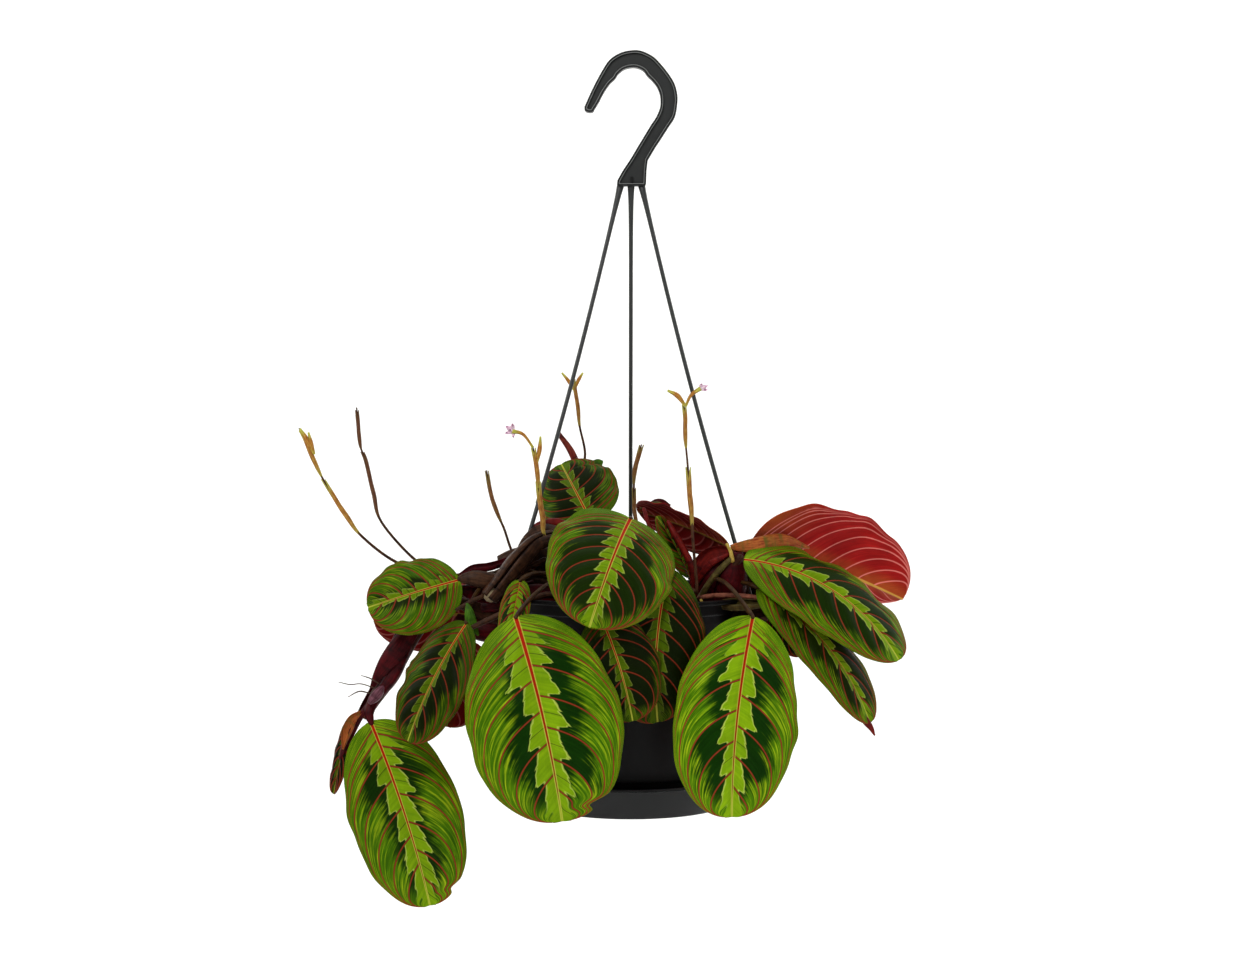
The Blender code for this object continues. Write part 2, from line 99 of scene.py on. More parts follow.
def finish_piece(name, bm, materials, nodes=(), smooth=True, attributes=None):
    """Makes the bmesh, in metres, a piece of the object. attributes gives each point three numbers."""
    mesh = bpy.data.meshes.new(name)
    bm.to_mesh(mesh)
    bm.free()
    for polygon in mesh.polygons:
        polygon.use_smooth = smooth
    for material in materials:
        mesh.materials.append(material)
    for label, values in (attributes or {}).items():
        layer = mesh.attributes.new(
            label, "FLOAT_VECTOR", "CORNER" if len(values) == len(mesh.loops) else "POINT"
        )
        layer.data.foreach_set("vector", np.asarray(values, np.float32).ravel())
    piece = bpy.data.objects.new(name, mesh)
    bpy.context.scene.collection.objects.link(piece)
    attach(piece, "root")
    if nodes:
        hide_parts(*nodes)
    return piece


def smooth_line(points, count):
    """count + 1 values on a Catmull-Rom curve through the points."""
    points = np.array(points, float)
    ends = np.vstack([2 * points[0] - points[1], points, 2 * points[-1] - points[-2]])
    line = []
    for step in range(count + 1):
        along = step / count * (len(points) - 1)
        first = min(int(along), len(points) - 2)
        u = along - first
        a, b, c, d = ends[first : first + 4]
        line.append(
            0.5 * (2 * b + (c - a) * u + (2 * a - 5 * b + 4 * c - d) * u**2 + (3 * b - a - 3 * c + d) * u**3)
        )
    return np.array(line)


def smooth_run(run, count):
    """A smooth line and its radii from rows of x, y, z and radius."""
    run = np.array(run, float)
    return smooth_line(run[:, :3], count), smooth_line(run[:, 3:], count)[:, 0]


def run_length(line):
    """How far along a line each of its points is."""
    return np.concatenate([[0], np.cumsum(np.linalg.norm(np.diff(line, axis=0), axis=1))])


def read_between(place, at, rows):
    """Rows of three numbers, which stand at the places at, read at any places."""
    return np.stack([np.interp(place, at, rows[:, axis]) for axis in range(3)], 1)


def travel_frames(line):
    """For each point of a line: its direction and two directions across it that don't twist."""
    along = np.gradient(line, axis=0)
    along /= np.linalg.norm(along, axis=1)[:, None]
    side = np.cross(along[0], (0.31, 0.2, 0.93) if abs(along[0][2]) < 0.8 else (1.0, 0.1, 0.0))
    sides = []
    for direction in along:
        side = side - direction * np.dot(side, direction)
        side /= np.linalg.norm(side)
        sides.append(side)
    sides = np.array(sides)
    return along, sides, np.cross(along, sides)


def laid_grid(rows, columns):
    """A bmesh grid and each vertex's place on it, from 0 to 1 along and across."""
    bm = bmesh.new()
    bmesh.ops.create_grid(bm, x_segments=rows, y_segments=columns, size=1)
    flat = np.array([vert.co[:2] for vert in bm.verts])
    return bm, (flat[:, 0] + 1) / 2, (flat[:, 1] + 1) / 2


def move_vertices(bm, points):
    """Puts each vertex at its point, in millimetres."""
    for vert, point in zip(bm.verts, points):
        vert.co = point * MM


def thicken(piece, thickness):
    """Gives a sheet its thickness, in millimetres, half to each side."""
    shell = piece.modifiers.new("thickness", "SOLIDIFY")
    shell.thickness = thickness * MM
    shell.offset = 0
    return shell


def add_tube(name, line, radii, material, nodes=(), sides=16, flatten=1.0):
    """A tapered rod along a line. Its ends round off, and its grain runs along it."""
    line = np.asarray(line, float)
    radii = np.asarray(radii, float)
    _, side, other = travel_frames(line)
    length = run_length(line)
    bm, along, around = laid_grid(len(line) + 3, sides)
    # two extra rows at each end close it with a small dome
    row = along * (len(line) + 3) - 2
    inner = np.clip(row, 0, len(line) - 1)
    at = np.arange(len(line))
    centre, across_1, across_2 = (read_between(inner, at, rows) for rows in (line, side, other))
    radius = np.interp(inner, at, radii)
    beyond = np.abs(row - inner) / 2
    direction = np.where(row[:, None] < 0, -1, 1) * np.cross(across_1, across_2)
    centre = centre + direction * (radius * 0.7 * np.sin(beyond * math.pi / 2))[:, None]
    radius = radius * np.cos(np.clip(beyond, 0, 1) * math.pi / 2)
    angle = around * math.tau
    points = centre + across_1 * (radius * np.cos(angle))[:, None]
    points += across_2 * (radius * flatten * np.sin(angle))[:, None]
    layer = bm.verts.layers.float_vector.new("grain")
    run = np.interp(inner, at, length)
    for vert, point, turn, distance in zip(bm.verts, points, angle, run):
        vert.co = point * MM
        vert[layer] = (math.cos(turn), math.sin(turn), distance)
    bmesh.ops.remove_doubles(bm, verts=bm.verts, dist=1e-7)
    bmesh.ops.recalc_face_normals(bm, faces=bm.faces)
    return finish_piece(name, bm, [material], nodes)


# ---------------------------------------------------------------- leaves

# A blade runs from base to tip with its upper side towards facing. bend arches it, sway curves its midrib
# sideways, crown curves each half down and fold lifts the two halves, all in degrees. A belly above 1 puts
# the widest place nearer the tip. dark is how far across the dark green reaches, and glow how
# bright the leaf's greens are: partly the leaf's own tone, partly painted shade on leaves that lie in the
# shadow of others.
Leaf = namedtuple("Leaf", "name base tip facing width belly bend sway crown fold dark glow")
LEAVES = [
    Leaf(
        "front_left", (-59, -94, -291), (-35, -102, -395), (0, -1, 0.25), 80, 1.1, 36, -10, 20, 3, 0.56,
        0.84
    ),
    Leaf("front_right", (63, -83, -292), (52, -90, -395), (0.1, -1, 0.2), 66, 1.1, 32, 16, 28, 3, 0.58, 0.96),
    Leaf(
        "crown_front", (0, -50, -243), (-21, -106, -295), (0.22, -0.76, 0.62), 69, 0.84, 44, 8, 26, 3, 0.8,
        0.62
    ),
    Leaf(
        "crown_back", (-21, -12, -248), (-39, 26, -217), (-0.25, -0.7, 0.6), 48, 0.95, 26, 0, 26, 0, 0.7,
        0.32
    ),
    Leaf("centre_low", (-16, -88, -290), (1, -91, -345), (0.2, -1, 0.2), 44, 1.1, 20, -10, 24, 4, 0.95, 0.28),
    Leaf(
        "centre_dark", (20, -66, -268), (14, -75, -348), (0.16, -1, 0.25), 52, 1.1, 60, 30, 18, 4, 1.2, 0.25
    ),
    Leaf(
        "left_small", (-91, -46, -276), (-139, -54, -290), (-0.1, -0.85, 0.5), 46, 1, 24, -8, 28, 2, 0.36,
        0.54
    ),
    Leaf("left_under", (-86, -12, -298), (-140, -16, -300), (0.1, 0.8, 0.55), 46, 1, 16, 0, 24, 0, 0.7, 0.5),
    Leaf(
        "left_mid", (-86, -64, -297), (-117, -68, -359), (-0.55, -0.8, 0.3), 43, 1.1, 26, 0, 26, 4, 0.66,
        0.3
    ),
    Leaf("left_inner", (-87, -30, -310), (-98, -44, -355), (0.2, 0.9, 0.2), 38, 1.1, 16, 0, 24, 0, 0.7, 0.5),
    Leaf("left_upper", (-58, -61, -275), (-64, -80, -311), (0, -0.8, 0.6), 16, 0.9, 24, 0, 26, 2, 0.9, 0.7),
    Leaf("trailing", (-138, -52, -351), (-107, -50, -450), (0, -1, 0.2), 60, 1.05, 26, -12, 24, 4, 0.6, 0.76),
    Leaf(
        "trailing_young", (-150, -46, -352), (-159, -44, -391), (-0.6, -0.7, 0.2), 12, 1, 10, 0, 60, 20,
        1.2, 0.2
    ),
    Leaf(
        "right_upper", (60, -48, -265), (141, -62, -317), (0.12, -0.55, 0.82), 55, 1, 44, -34, 32, 2, 0.72,
        0.66
    ),
    Leaf(
        "right_lower", (67, -58, -279), (126, -62, -350), (0.35, -0.62, 0.6), 37, 0.95, 34, -24, 28, 4,
        0.74, 0.56
    ),
    Leaf(
        "right_under", (64, -30, -258), (152, 16, -292), (0.1, 0.75, 0.65), 76, 0.84, 26, -10, 22, 24, 0.6,
        1.15
    ),
    Leaf(
        "middle_under", (53, -44, -259), (4, 4, -242), (-0.25, 0.82, 0.56), 36, 0.88, 14, 0, 22, 0, 0.7, 0.5
    ),
    Leaf("right_young", (73, -40, -294), (91, -42, -317), (0.3, -0.7, 0.3), 16, 1, 10, 0, 50, 10, 0.9, 0.4),
    Leaf("crown_side", (32, -30, -276), (14, -34, -243), (0.7, -0.5, 0.5), 20, 1, 14, 0, 40, 10, 0.5, 0.35),
    Leaf("back_left", (-48, 70, -291), (-59, 88, -391), (-0.3, 1, 0.15), 66, 1.05, 32, 8, 26, 3, 0.58, 0.92),
    Leaf("back_right", (36, 76, -291), (50, 92, -386), (0.3, 1, 0.15), 62, 1.05, 32, -8, 26, 3, 0.62, 0.88),
    Leaf(
        "back_middle", (-22, 40, -258), (-32, 104, -319), (-0.1, 0.7, 0.75), 48, 0.95, 56, 0, 28, 3, 0.75,
        0.8
    ),
    Leaf("back_far_right", (69, 34, -272), (120, 66, -314), (0.4, 0.75, 0.6), 48, 1, 34, 10, 28, 3, 0.7, 0.7),
    Leaf(
        "back_far_left", (-81, 30, -286), (-121, 56, -315), (-0.4, 0.75, 0.6), 46, 1, 34, -10, 28, 3, 0.7,
        0.8
    ),
]
LEAF_ROWS = 110
LEAF_COLUMNS = 56
LEAF_THICKNESS = 0.55
BLADE_FULLNESS = 0.46
MIDRIB_STEPS = 60
QUILTING = 0.75  # how far the blade domes between two side veins
EDGE_WAVE = 0.022  # of the blade's width
# leaves whose lime band is narrower or wider than most, and leaves with more side veins than most
LIME_BANDS = {
    "crown_front": 0.72, "left_small": 0.6, "left_mid": 0.7, "left_upper": 1.5, "centre_dark": 0.85,
    "centre_low": 0.7, "right_upper": 0.75, "right_lower": 0.85, "crown_side": 0.5, "crown_back": 0.8,
    "right_young": 0.6,
}
# a nick in the margin: place along the blade, half of the blade, depth as a share of the half's width
NICKS = {
    "front_left": (0.935, -1, 0.3), "trailing": (0.93, -1, 0.2), "left_mid": (0.5, 1, 0.08),
    "crown_back": (0.8, 1, 0.12)
}
CLOSER_VEINS = {
    "crown_front": 1.35, "right_under": 1.5, "centre_dark": 1.2, "middle_under": 1.3, "right_upper": 1.15
}


def blade_axes(leaf):
    """Unit vectors along the blade, out of its upper side, and across it."""
    along = np.subtract(leaf.tip, leaf.base) / np.linalg.norm(np.subtract(leaf.tip, leaf.base))
    up = leaf.facing - along * np.dot(along, leaf.facing)
    up /= np.linalg.norm(up)
    return np.stack([along, up, np.cross(along, up)])


def midrib(leaf):
    """Equal steps along the midrib: fraction, points, the blade's up and its side there."""
    fraction = np.linspace(0, 1, MIDRIB_STEPS + 1)
    arch = np.radians(leaf.bend) * (0.5 - fraction)
    turn = np.radians(leaf.sway) * (0.5 - fraction)
    zero = np.zeros_like(fraction)
    axes = blade_axes(leaf)
    along = np.stack([np.cos(arch) * np.cos(turn), np.sin(arch), np.cos(arch) * np.sin(turn)], 1) @ axes
    side = np.stack([-np.sin(turn), zero, np.cos(turn)], 1) @ axes
    steps = np.vstack([np.zeros(3), np.cumsum((along[1:] + along[:-1]) / 2, 0)])
    steps *= np.linalg.norm(np.subtract(leaf.tip, leaf.base)) / np.linalg.norm(steps[-1])
    return fraction, leaf.base + steps, np.cross(side, along), side


def blade_point(leaf, fraction, across):
    """Points of the blade, and how far each is from the midrib over the surface."""
    at, points, up, side = midrib(leaf)
    point, up, side = (read_between(fraction, at, rows) for rows in (points, up, side))
    place = np.clip(fraction, 0, 1) ** leaf.belly
    half_width = leaf.width / 2 * np.clip(4 * place * (1 - place), 0, 1) ** BLADE_FULLNESS
    nick_at, nick_half, nick_depth = NICKS.get(leaf.name, (0, 0, 0))
    nicked = nick_depth * np.exp(-(((fraction - nick_at) / 0.022) ** 2))
    half_width = half_width * (1 - nicked * (across * nick_half > 0))
    reach = np.abs(across) * np.maximum(half_width, 1.5 - 1.2 * fraction)
    curvature = math.radians(leaf.crown) / (leaf.width / 2)
    out = np.sin(curvature * reach) / curvature
    drop = (1 - np.cos(curvature * reach)) / curvature
    fold = math.radians(leaf.fold)
    sideways = np.sign(across) * (out * math.cos(fold) + drop * math.sin(fold))
    lift = out * math.sin(fold) - drop * math.cos(fold)
    return point + side * sideways[:, None] + up * lift[:, None], reach


def vein_start(fraction, across):
    """Where on the midrib the side vein through a place of the blade starts. Side veins leave it steeply
    and bend towards the tip, nearly parallel to the margin."""
    low = np.full_like(fraction, -0.5)
    high = fraction.copy()
    for _ in range(30):
        start = (low + high) / 2
        held = np.clip(start, 0, 1)
        steepness = 7.5 + 5 * np.exp(-8 * held)
        turned_at = 1 - 0.72 * held**2
        left = np.clip((fraction - start) / np.maximum(1 - start, 0.05), 0, 1)
        reach = turned_at * (1 - np.exp(-steepness * (fraction - start))) + (1 - turned_at) * left**2.5
        outside = reach > np.abs(across)
        low = np.where(outside, start, low)
        high = np.where(outside, high, start)
    return (low + high) / 2


def vein_number(fraction, across):
    """Counts side veins from the base: whole numbers lie on a vein. They crowd together at the base."""
    start = vein_start(fraction, across)
    crowded = np.log1p(14 * np.clip(start, 0, 0.31)) / 0.42
    return np.where(start < 0, start / 0.03, crowded + np.maximum(start - 0.31, 0) / 0.15), start


def blade_field(leaf, fraction, across):
    """For places on the blade: point, upper normal, vein number, millimetres from vein to vein, start of
    the vein and distance from the midrib."""
    nudge = 1e-3
    step_along = np.where(fraction > 0.5, -nudge, nudge)
    step_across = np.where(np.abs(across) > 0.5, -nudge, nudge) * np.where(across < 0, -1, 1)
    point, reach = blade_point(leaf, fraction, across)
    closer = CLOSER_VEINS.get(leaf.name, 1.0)
    number, start = vein_number(fraction, across)
    number = number * closer
    by_along = (blade_point(leaf, fraction + step_along, across)[0] - point) / step_along[:, None]
    by_across = (blade_point(leaf, fraction, across + step_across)[0] - point) / step_across[:, None]
    rise_along = (vein_number(fraction + step_along, across)[0] * closer - number) / step_along
    rise_across = (vein_number(fraction, across + step_across)[0] * closer - number) / step_across
    aa = (by_along**2).sum(1)
    cc = (by_across**2).sum(1) + 1e-3
    ac = (by_along * by_across).sum(1)
    spread = (rise_along**2 * cc - 2 * rise_along * rise_across * ac + rise_across**2 * aa) / np.maximum(
        aa * cc - ac**2, 1e-3
    )
    gap = np.clip(1 / np.sqrt(spread + 1e-6), 0.3, 25)
    normal = np.cross(by_across, by_along)
    normal /= np.linalg.norm(normal, axis=1)[:, None] + 1e-9
    return point, normal, number, gap, start, reach


def between(low, high, value):
    """0 below low, 1 above high, smooth in between."""
    x = np.clip((value - low) / (high - low), 0, 1)
    return x * x * (3 - 2 * x)


def add_leaf(index, leaf, upper, under):
    """A blade quilted between its side veins, with the pattern's own coordinates on its face corners."""
    bm, along, over = laid_grid(LEAF_ROWS, LEAF_COLUMNS)
    # rows crowd towards both ends, and columns towards the midrib
    spread = over * 2 - 1
    fraction = (1 - np.cos(math.pi * along)) / 2
    across = np.sign(spread) * np.abs(spread) ** 1.15
    chance = random.Random(leaf.name)
    phase = [chance.uniform(0, math.tau) for _ in range(4)]
    waves = chance.uniform(2.2, 3.6)
    held = np.clip(fraction, 0.002, 0.998)
    point, normal, number, gap, start, reach = blade_field(leaf, held, across)
    # side veins alternate: the left half's stand half a step from the right half's
    dome = np.abs(np.sin(math.pi * (number + np.where(across < 0, 0.5, 0)))) ** 0.8 * np.minimum(gap / 9, 1)
    dome *= between(0.02, 0.12, np.abs(across)) * (1 - between(0.86, 0.99, np.abs(across)))
    dome *= between(0.02, 0.1, fraction) * (1 - between(0.84, 0.97, fraction))
    groove = np.exp(-((reach / 1.6) ** 2)) * 0.5
    side_phase = np.where(across < 0, phase[0], phase[1])
    ripple = np.sin(math.tau * waves * fraction + side_phase)
    ripple += 0.5 * np.sin(math.tau * 5.3 * fraction + phase[2])
    wave = EDGE_WAVE * leaf.width * np.abs(across) ** 4 * ripple * np.sin(math.pi * fraction)
    lift = QUILTING * dome - groove + wave
    move_vertices(bm, point + normal * lift[:, None])
    bmesh.ops.reverse_faces(bm, faces=bm.faces)
    bm.verts.ensure_lookup_table()
    # corners, so that the two halves of the blade keep their own vein numbers along the midrib
    corner = np.array([loop.vert.index for face in bm.faces for loop in face.loops])
    half = np.repeat(
        [np.sign(sum(across[loop.vert.index] for loop in face.loops)) for face in bm.faces],
        [len(face.loops) for face in bm.faces],
    )
    number = number[corner]
    own_number = number + np.where(half < 0, 20.5, 0) + 40 * index
    strength = between(0.35, 0.7, number) * (1 - between(0.84, 0.89, start[corner]))
    strength *= 1 - between(0.93, 0.985, np.abs(across[corner]))
    pattern = np.stack([own_number, gap[corner], strength], 1)
    blade = np.stack([fraction[corner], np.abs(across[corner]), (reach / (leaf.width / 2))[corner]], 1)
    # each corner carries dark, the leaf's brightness (its own tone, partly painted shade) and its lime band
    tone = np.tile((leaf.dark, leaf.glow, LIME_BANDS.get(leaf.name, 1.0)), (len(corner), 1))
    piece = finish_piece(
        f"leaf_blade_{leaf.name}",
        bm,
        [upper, under],
        [f"leaf_{leaf.name}"],
        attributes={"pattern": pattern, "blade": blade, "tone": tone},
    )
    shell = thicken(piece, LEAF_THICKNESS)
    shell.material_offset = 1
    shell.material_offset_rim = 1 if "under" in leaf.name else 0


def leaf_inputs(tree):
    """The pattern's coordinates, the distance to the nearest side vein in millimetres, and the streaks."""
    found = {}
    for label, names in (
        ("pattern", "number gap strength"), ("blade", "fraction across reach"), ("tone", "dark glow band")
    ):
        source = node(tree, "Attribute", attribute_name=label)
        parts = node(tree, "SeparateXYZ", {0: source.outputs["Vector"]})
        for place, name in enumerate(names.split()):
            found[name] = parts.outputs[place]
    to_vein = node(tree, "Math", {0: found["number"], 1: 0.5}, operation="PINGPONG")
    found["from_vein"] = node(tree, "Math", {0: to_vein, 1: found["gap"]}, operation="MULTIPLY")
    # fine streaks that run along the side veins, about 1 mm apart
    over = node(tree, "Math", {0: found["number"], 1: 9.0}, operation="MULTIPLY")
    run = node(tree, "Math", {0: found["fraction"], 1: 5.0}, operation="MULTIPLY")
    place = node(tree, "CombineXYZ", {0: over, 1: run})
    streak = node(tree, "TexNoise", {"Vector": place, "Scale": 1.0, "Detail": 3.0, "Roughness": 0.6})
    found["streaks"] = streak.outputs[0]
    return found


def from_midrib(tree, at, end, base_half, end_half):
    """How far outside the midrib a place lies. The midrib's half width tapers until the fraction end; both
    are shares of the blade's half width."""
    rib_half = node(tree, "MapRange", {0: at["fraction"], 1: 0.0, 2: end, 3: base_half, 4: end_half})
    return node(tree, "Math", {0: at["reach"], 1: rib_half}, operation="SUBTRACT")


def leaf_upper_material():
    """Prayer plant leaf, upper side: waxy living skin, satin. Lime herringbone along the midrib, dark green
    blotches beyond it that fray into light green, and thin red veins in shallow grooves."""
    material, tree, shader = new_material("prayer_leaf_upper", 0.42, 1.42, 0.04)
    at = leaf_inputs(tree)
    cell = node(tree, "Math", {0: at["number"]}, operation="FLOOR")
    inside = node(tree, "Math", {0: at["number"]}, operation="FRACT")
    chance = node(tree, "TexWhiteNoise", {"W": cell}, noise_dimensions="1D")
    chances = node(tree, "SeparateXYZ", {0: chance.outputs["Color"]})

    streaks = at["streaks"]
    coordinates = node(tree, "TexCoord")
    mottle = node(tree, "TexNoise", {"Vector": coordinates.outputs["Object"], "Scale": 70.0, "Detail": 3.0})

    # the lime band's edge: each cell widens towards the next vein and then steps back, with small teeth
    tooth = node(
        tree, "ValToRGB", {0: inside},
        ramp=[(0, 0.5), (0.3, 0.66), (0.74, 1.0), (0.8, 0.96), (0.88, 0.5), (1, 0.42)]
    )
    small_teeth = node(
        tree, "Math", {0: node(tree, "Math", {0: inside, 1: 2.7}, operation="MULTIPLY")}, operation="FRACT"
    )
    edge = node(tree, "Math", {0: small_teeth, 1: 0.1, 2: tooth}, operation="MULTIPLY_ADD")
    size = node(tree, "MapRange", {0: chances.outputs[0], 3: 0.24, 4: 0.35})
    edge = node(tree, "Math", {0: edge, 1: size}, operation="MULTIPLY")
    ragged = node(tree, "TexNoise", {"Vector": coordinates.outputs["Object"], "Scale": 190.0, "Detail": 1.0})
    ragged = node(tree, "MapRange", {0: ragged, 1: 0.3, 2: 0.7, 3: 0.88, 4: 1.12})
    edge = node(tree, "Math", {0: edge, 1: ragged}, operation="MULTIPLY")
    edge = node(tree, "Math", {0: edge, 1: at["band"]}, operation="MULTIPLY")
    narrowing = node(tree, "MapRange", {0: at["fraction"], 1: 0.3, 2: 1.0, 3: 1.0, 4: 0.62})
    edge = node(tree, "Math", {0: edge, 1: narrowing}, operation="MULTIPLY")
    past_edge = node(tree, "Math", {0: at["reach"], 1: edge}, operation="SUBTRACT")
    beyond_lime = node(tree, "MapRange", {0: past_edge, 1: -0.008, 2: 0.008}, interpolation_type="SMOOTHSTEP")
    pale_edge = node(
        tree, "MapRange",
        {0: node(tree, "Math", {0: past_edge}, operation="ABSOLUTE"), 1: 0.005, 2: 0.019, 3: 0.8, 4: 0.0}
    )

    # the dark zone frays out into the light margin along the streaks
    frayed = node(tree, "Math", {0: streaks, 1: 0.5, 2: at["across"]}, operation="MULTIPLY_ADD")
    frayed = node(tree, "Math", {0: chances.outputs[1], 1: 0.36, 2: frayed}, operation="MULTIPLY_ADD")
    frayed = node(tree, "Math", {0: mottle, 1: 0.5, 2: frayed}, operation="MULTIPLY_ADD")
    past_dark = node(tree, "Math", {0: frayed, 1: at["dark"]}, operation="SUBTRACT")
    light = node(tree, "MapRange", {0: past_dark, 1: 0.46, 2: 0.72}, interpolation_type="SMOOTHSTEP")
    base_light = node(
        tree, "MapRange", {0: at["fraction"], 1: 0.1, 2: 0.22, 3: 1.0, 4: 0.0},
        interpolation_type="SMOOTHSTEP"
    )
    tip_light = node(tree, "MapRange", {0: at["fraction"], 1: 0.86, 2: 0.97}, interpolation_type="SMOOTHSTEP")
    light = node(
        tree, "Math", {0: light, 1: node(tree, "Math", {0: base_light, 1: tip_light}, operation="MAXIMUM")},
        operation="MAXIMUM"
    )

    lime = node(tree, "Mix", {0: streaks, 6: linear("#4E7E04"), 7: linear("#98BA12")}, data_type="RGBA")
    dark = node(tree, "Mix", {0: streaks, 6: linear("#051A01"), 7: linear("#143E03")}, data_type="RGBA")
    # leaves dimmed by painted shade also turn their dark green olive brown: painted shade, partly the leaf's
    # own tone
    shaded = node(tree, "MapRange", {0: at["glow"], 1: 0.55, 2: 0.82, 3: 0.4, 4: 0.0})
    dark = node(tree, "Mix", {0: shaded, 6: dark.outputs[2], 7: linear("#2E2C04")}, data_type="RGBA")
    outer = node(tree, "ValToRGB", {0: streaks}, ramp=[(0.3, "#2A5002"), (0.5, "#4C7804"), (0.7, "#A6BC1A")])
    green = node(tree, "Mix", {0: light, 6: dark.outputs[2], 7: outer}, data_type="RGBA")
    green = node(tree, "Mix", {0: beyond_lime, 6: lime.outputs[2], 7: green.outputs[2]}, data_type="RGBA")
    pale_amount = node(
        tree, "Math",
        {0: pale_edge, 1: node(tree, "Math", {0: light, 1: -0.75, 2: 0.75}, operation="MULTIPLY_ADD")},
        operation="MULTIPLY"
    )
    green = node(tree, "Mix", {0: pale_amount, 6: green.outputs[2], 7: linear("#C8DA60")}, data_type="RGBA")

    # a short thin dark vein in some of the lime cells
    from_middle = node(tree, "Math", {0: inside, 1: 0.5}, operation="SUBTRACT")
    from_middle = node(
        tree, "Math", {0: node(tree, "Math", {0: from_middle}, operation="ABSOLUTE"), 1: at["gap"]},
        operation="MULTIPLY"
    )
    short_vein = node(tree, "MapRange", {0: from_middle, 1: 0.1, 2: 0.3, 3: 1.0, 4: 0.0})
    chosen = node(tree, "Math", {0: chances.outputs[2], 1: 0.5}, operation="GREATER_THAN")
    short_vein = node(tree, "Math", {0: short_vein, 1: chosen}, operation="MULTIPLY")
    within = node(tree, "Math", {0: beyond_lime, 1: -0.8, 2: 0.8}, operation="MULTIPLY_ADD")
    short_vein = node(tree, "Math", {0: short_vein, 1: within}, operation="MULTIPLY")
    green = node(tree, "Mix", {0: short_vein, 6: green.outputs[2], 7: linear("#3B3A10")}, data_type="RGBA")

    # random mottle in tone, scaled by the leaf's brightness, which is partly painted shade
    shade = node(tree, "MapRange", {0: mottle, 1: 0.3, 2: 0.7, 3: 0.82, 4: 1.15})
    shade = node(tree, "Math", {0: shade, 1: at["glow"]}, operation="MULTIPLY")
    green = node(tree, "VectorMath", {0: green.outputs[2], "Scale": shade}, operation="SCALE")

    # side veins, 1.1 mm wide at the midrib and 0.65 mm near the margin, darker along their edges
    vein_half = node(tree, "MapRange", {0: at["across"], 1: 0.1, 2: 1.0, 3: 0.54, 4: 0.32})
    past_vein = node(tree, "Math", {0: at["from_vein"], 1: vein_half}, operation="SUBTRACT")
    vein = node(
        tree, "MapRange", {0: past_vein, 1: -0.14, 2: 0.14, 3: 1.0, 4: 0.0}, interpolation_type="SMOOTHSTEP"
    )
    vein = node(tree, "Math", {0: vein, 1: at["strength"]}, operation="MULTIPLY")
    vein_core = node(tree, "MapRange", {0: at["from_vein"], 1: 0.1, 2: 0.5, 3: 1.0, 4: 0.0})
    vein_red = node(tree, "Mix", {0: vein_core, 6: linear("#3E1402"), 7: linear("#8E3620")}, data_type="RGBA")
    # the veins dim with the leaf's painted shade too
    vein_tone_and_shade = node(tree, "MapRange", {0: at["glow"], 1: 0.25, 2: 1.0, 3: 0.6, 4: 1.0})
    vein_red = node(tree, "VectorMath", {0: vein_red.outputs[2], "Scale": vein_tone_and_shade}, operation="SCALE")
    skin = node(tree, "Mix", {0: vein, 6: green.outputs[0], 7: vein_red.outputs[0]}, data_type="RGBA")

    # the midrib tapers from about 2 mm to a quarter of that and has a thin yellow border
    past_rib = from_midrib(tree, at, 0.9, 0.027, 0.006)
    rib = node(
        tree, "MapRange", {0: past_rib, 1: -0.006, 2: 0.006, 3: 1.0, 4: 0.0},
        interpolation_type="SMOOTHSTEP"
    )
    rib_border = node(tree, "MapRange", {0: past_rib, 1: 0.006, 2: 0.016, 3: 0.7, 4: 0.0})
    skin = node(tree, "Mix", {0: rib_border, 6: skin.outputs[2], 7: linear("#C7BE4E")}, data_type="RGBA")
    rib_colour = node(
        tree, "ValToRGB", {0: at["fraction"]},
        ramp=[(0, "#A21C06"), (0.62, "#861E08"), (0.86, "#6A4210"), (0.95, "#8FA022")]
    )
    skin = node(tree, "Mix", {0: rib, 6: skin.outputs[2], 7: rib_colour}, data_type="RGBA")
    sunk_vein = node(tree, "Math", {0: vein, 1: -1.2}, operation="MULTIPLY")
    relief = node(tree, "Math", {0: streaks, 1: sunk_vein}, operation="ADD")
    dress(tree, shader, skin.outputs[2], relief, 0.35, 0.4)
    gloss = node(tree, "MapRange", {0: mottle, 3: 0.34, 4: 0.5})
    tree.links.new(gloss.outputs[0], shader.inputs["Roughness"])
    return material


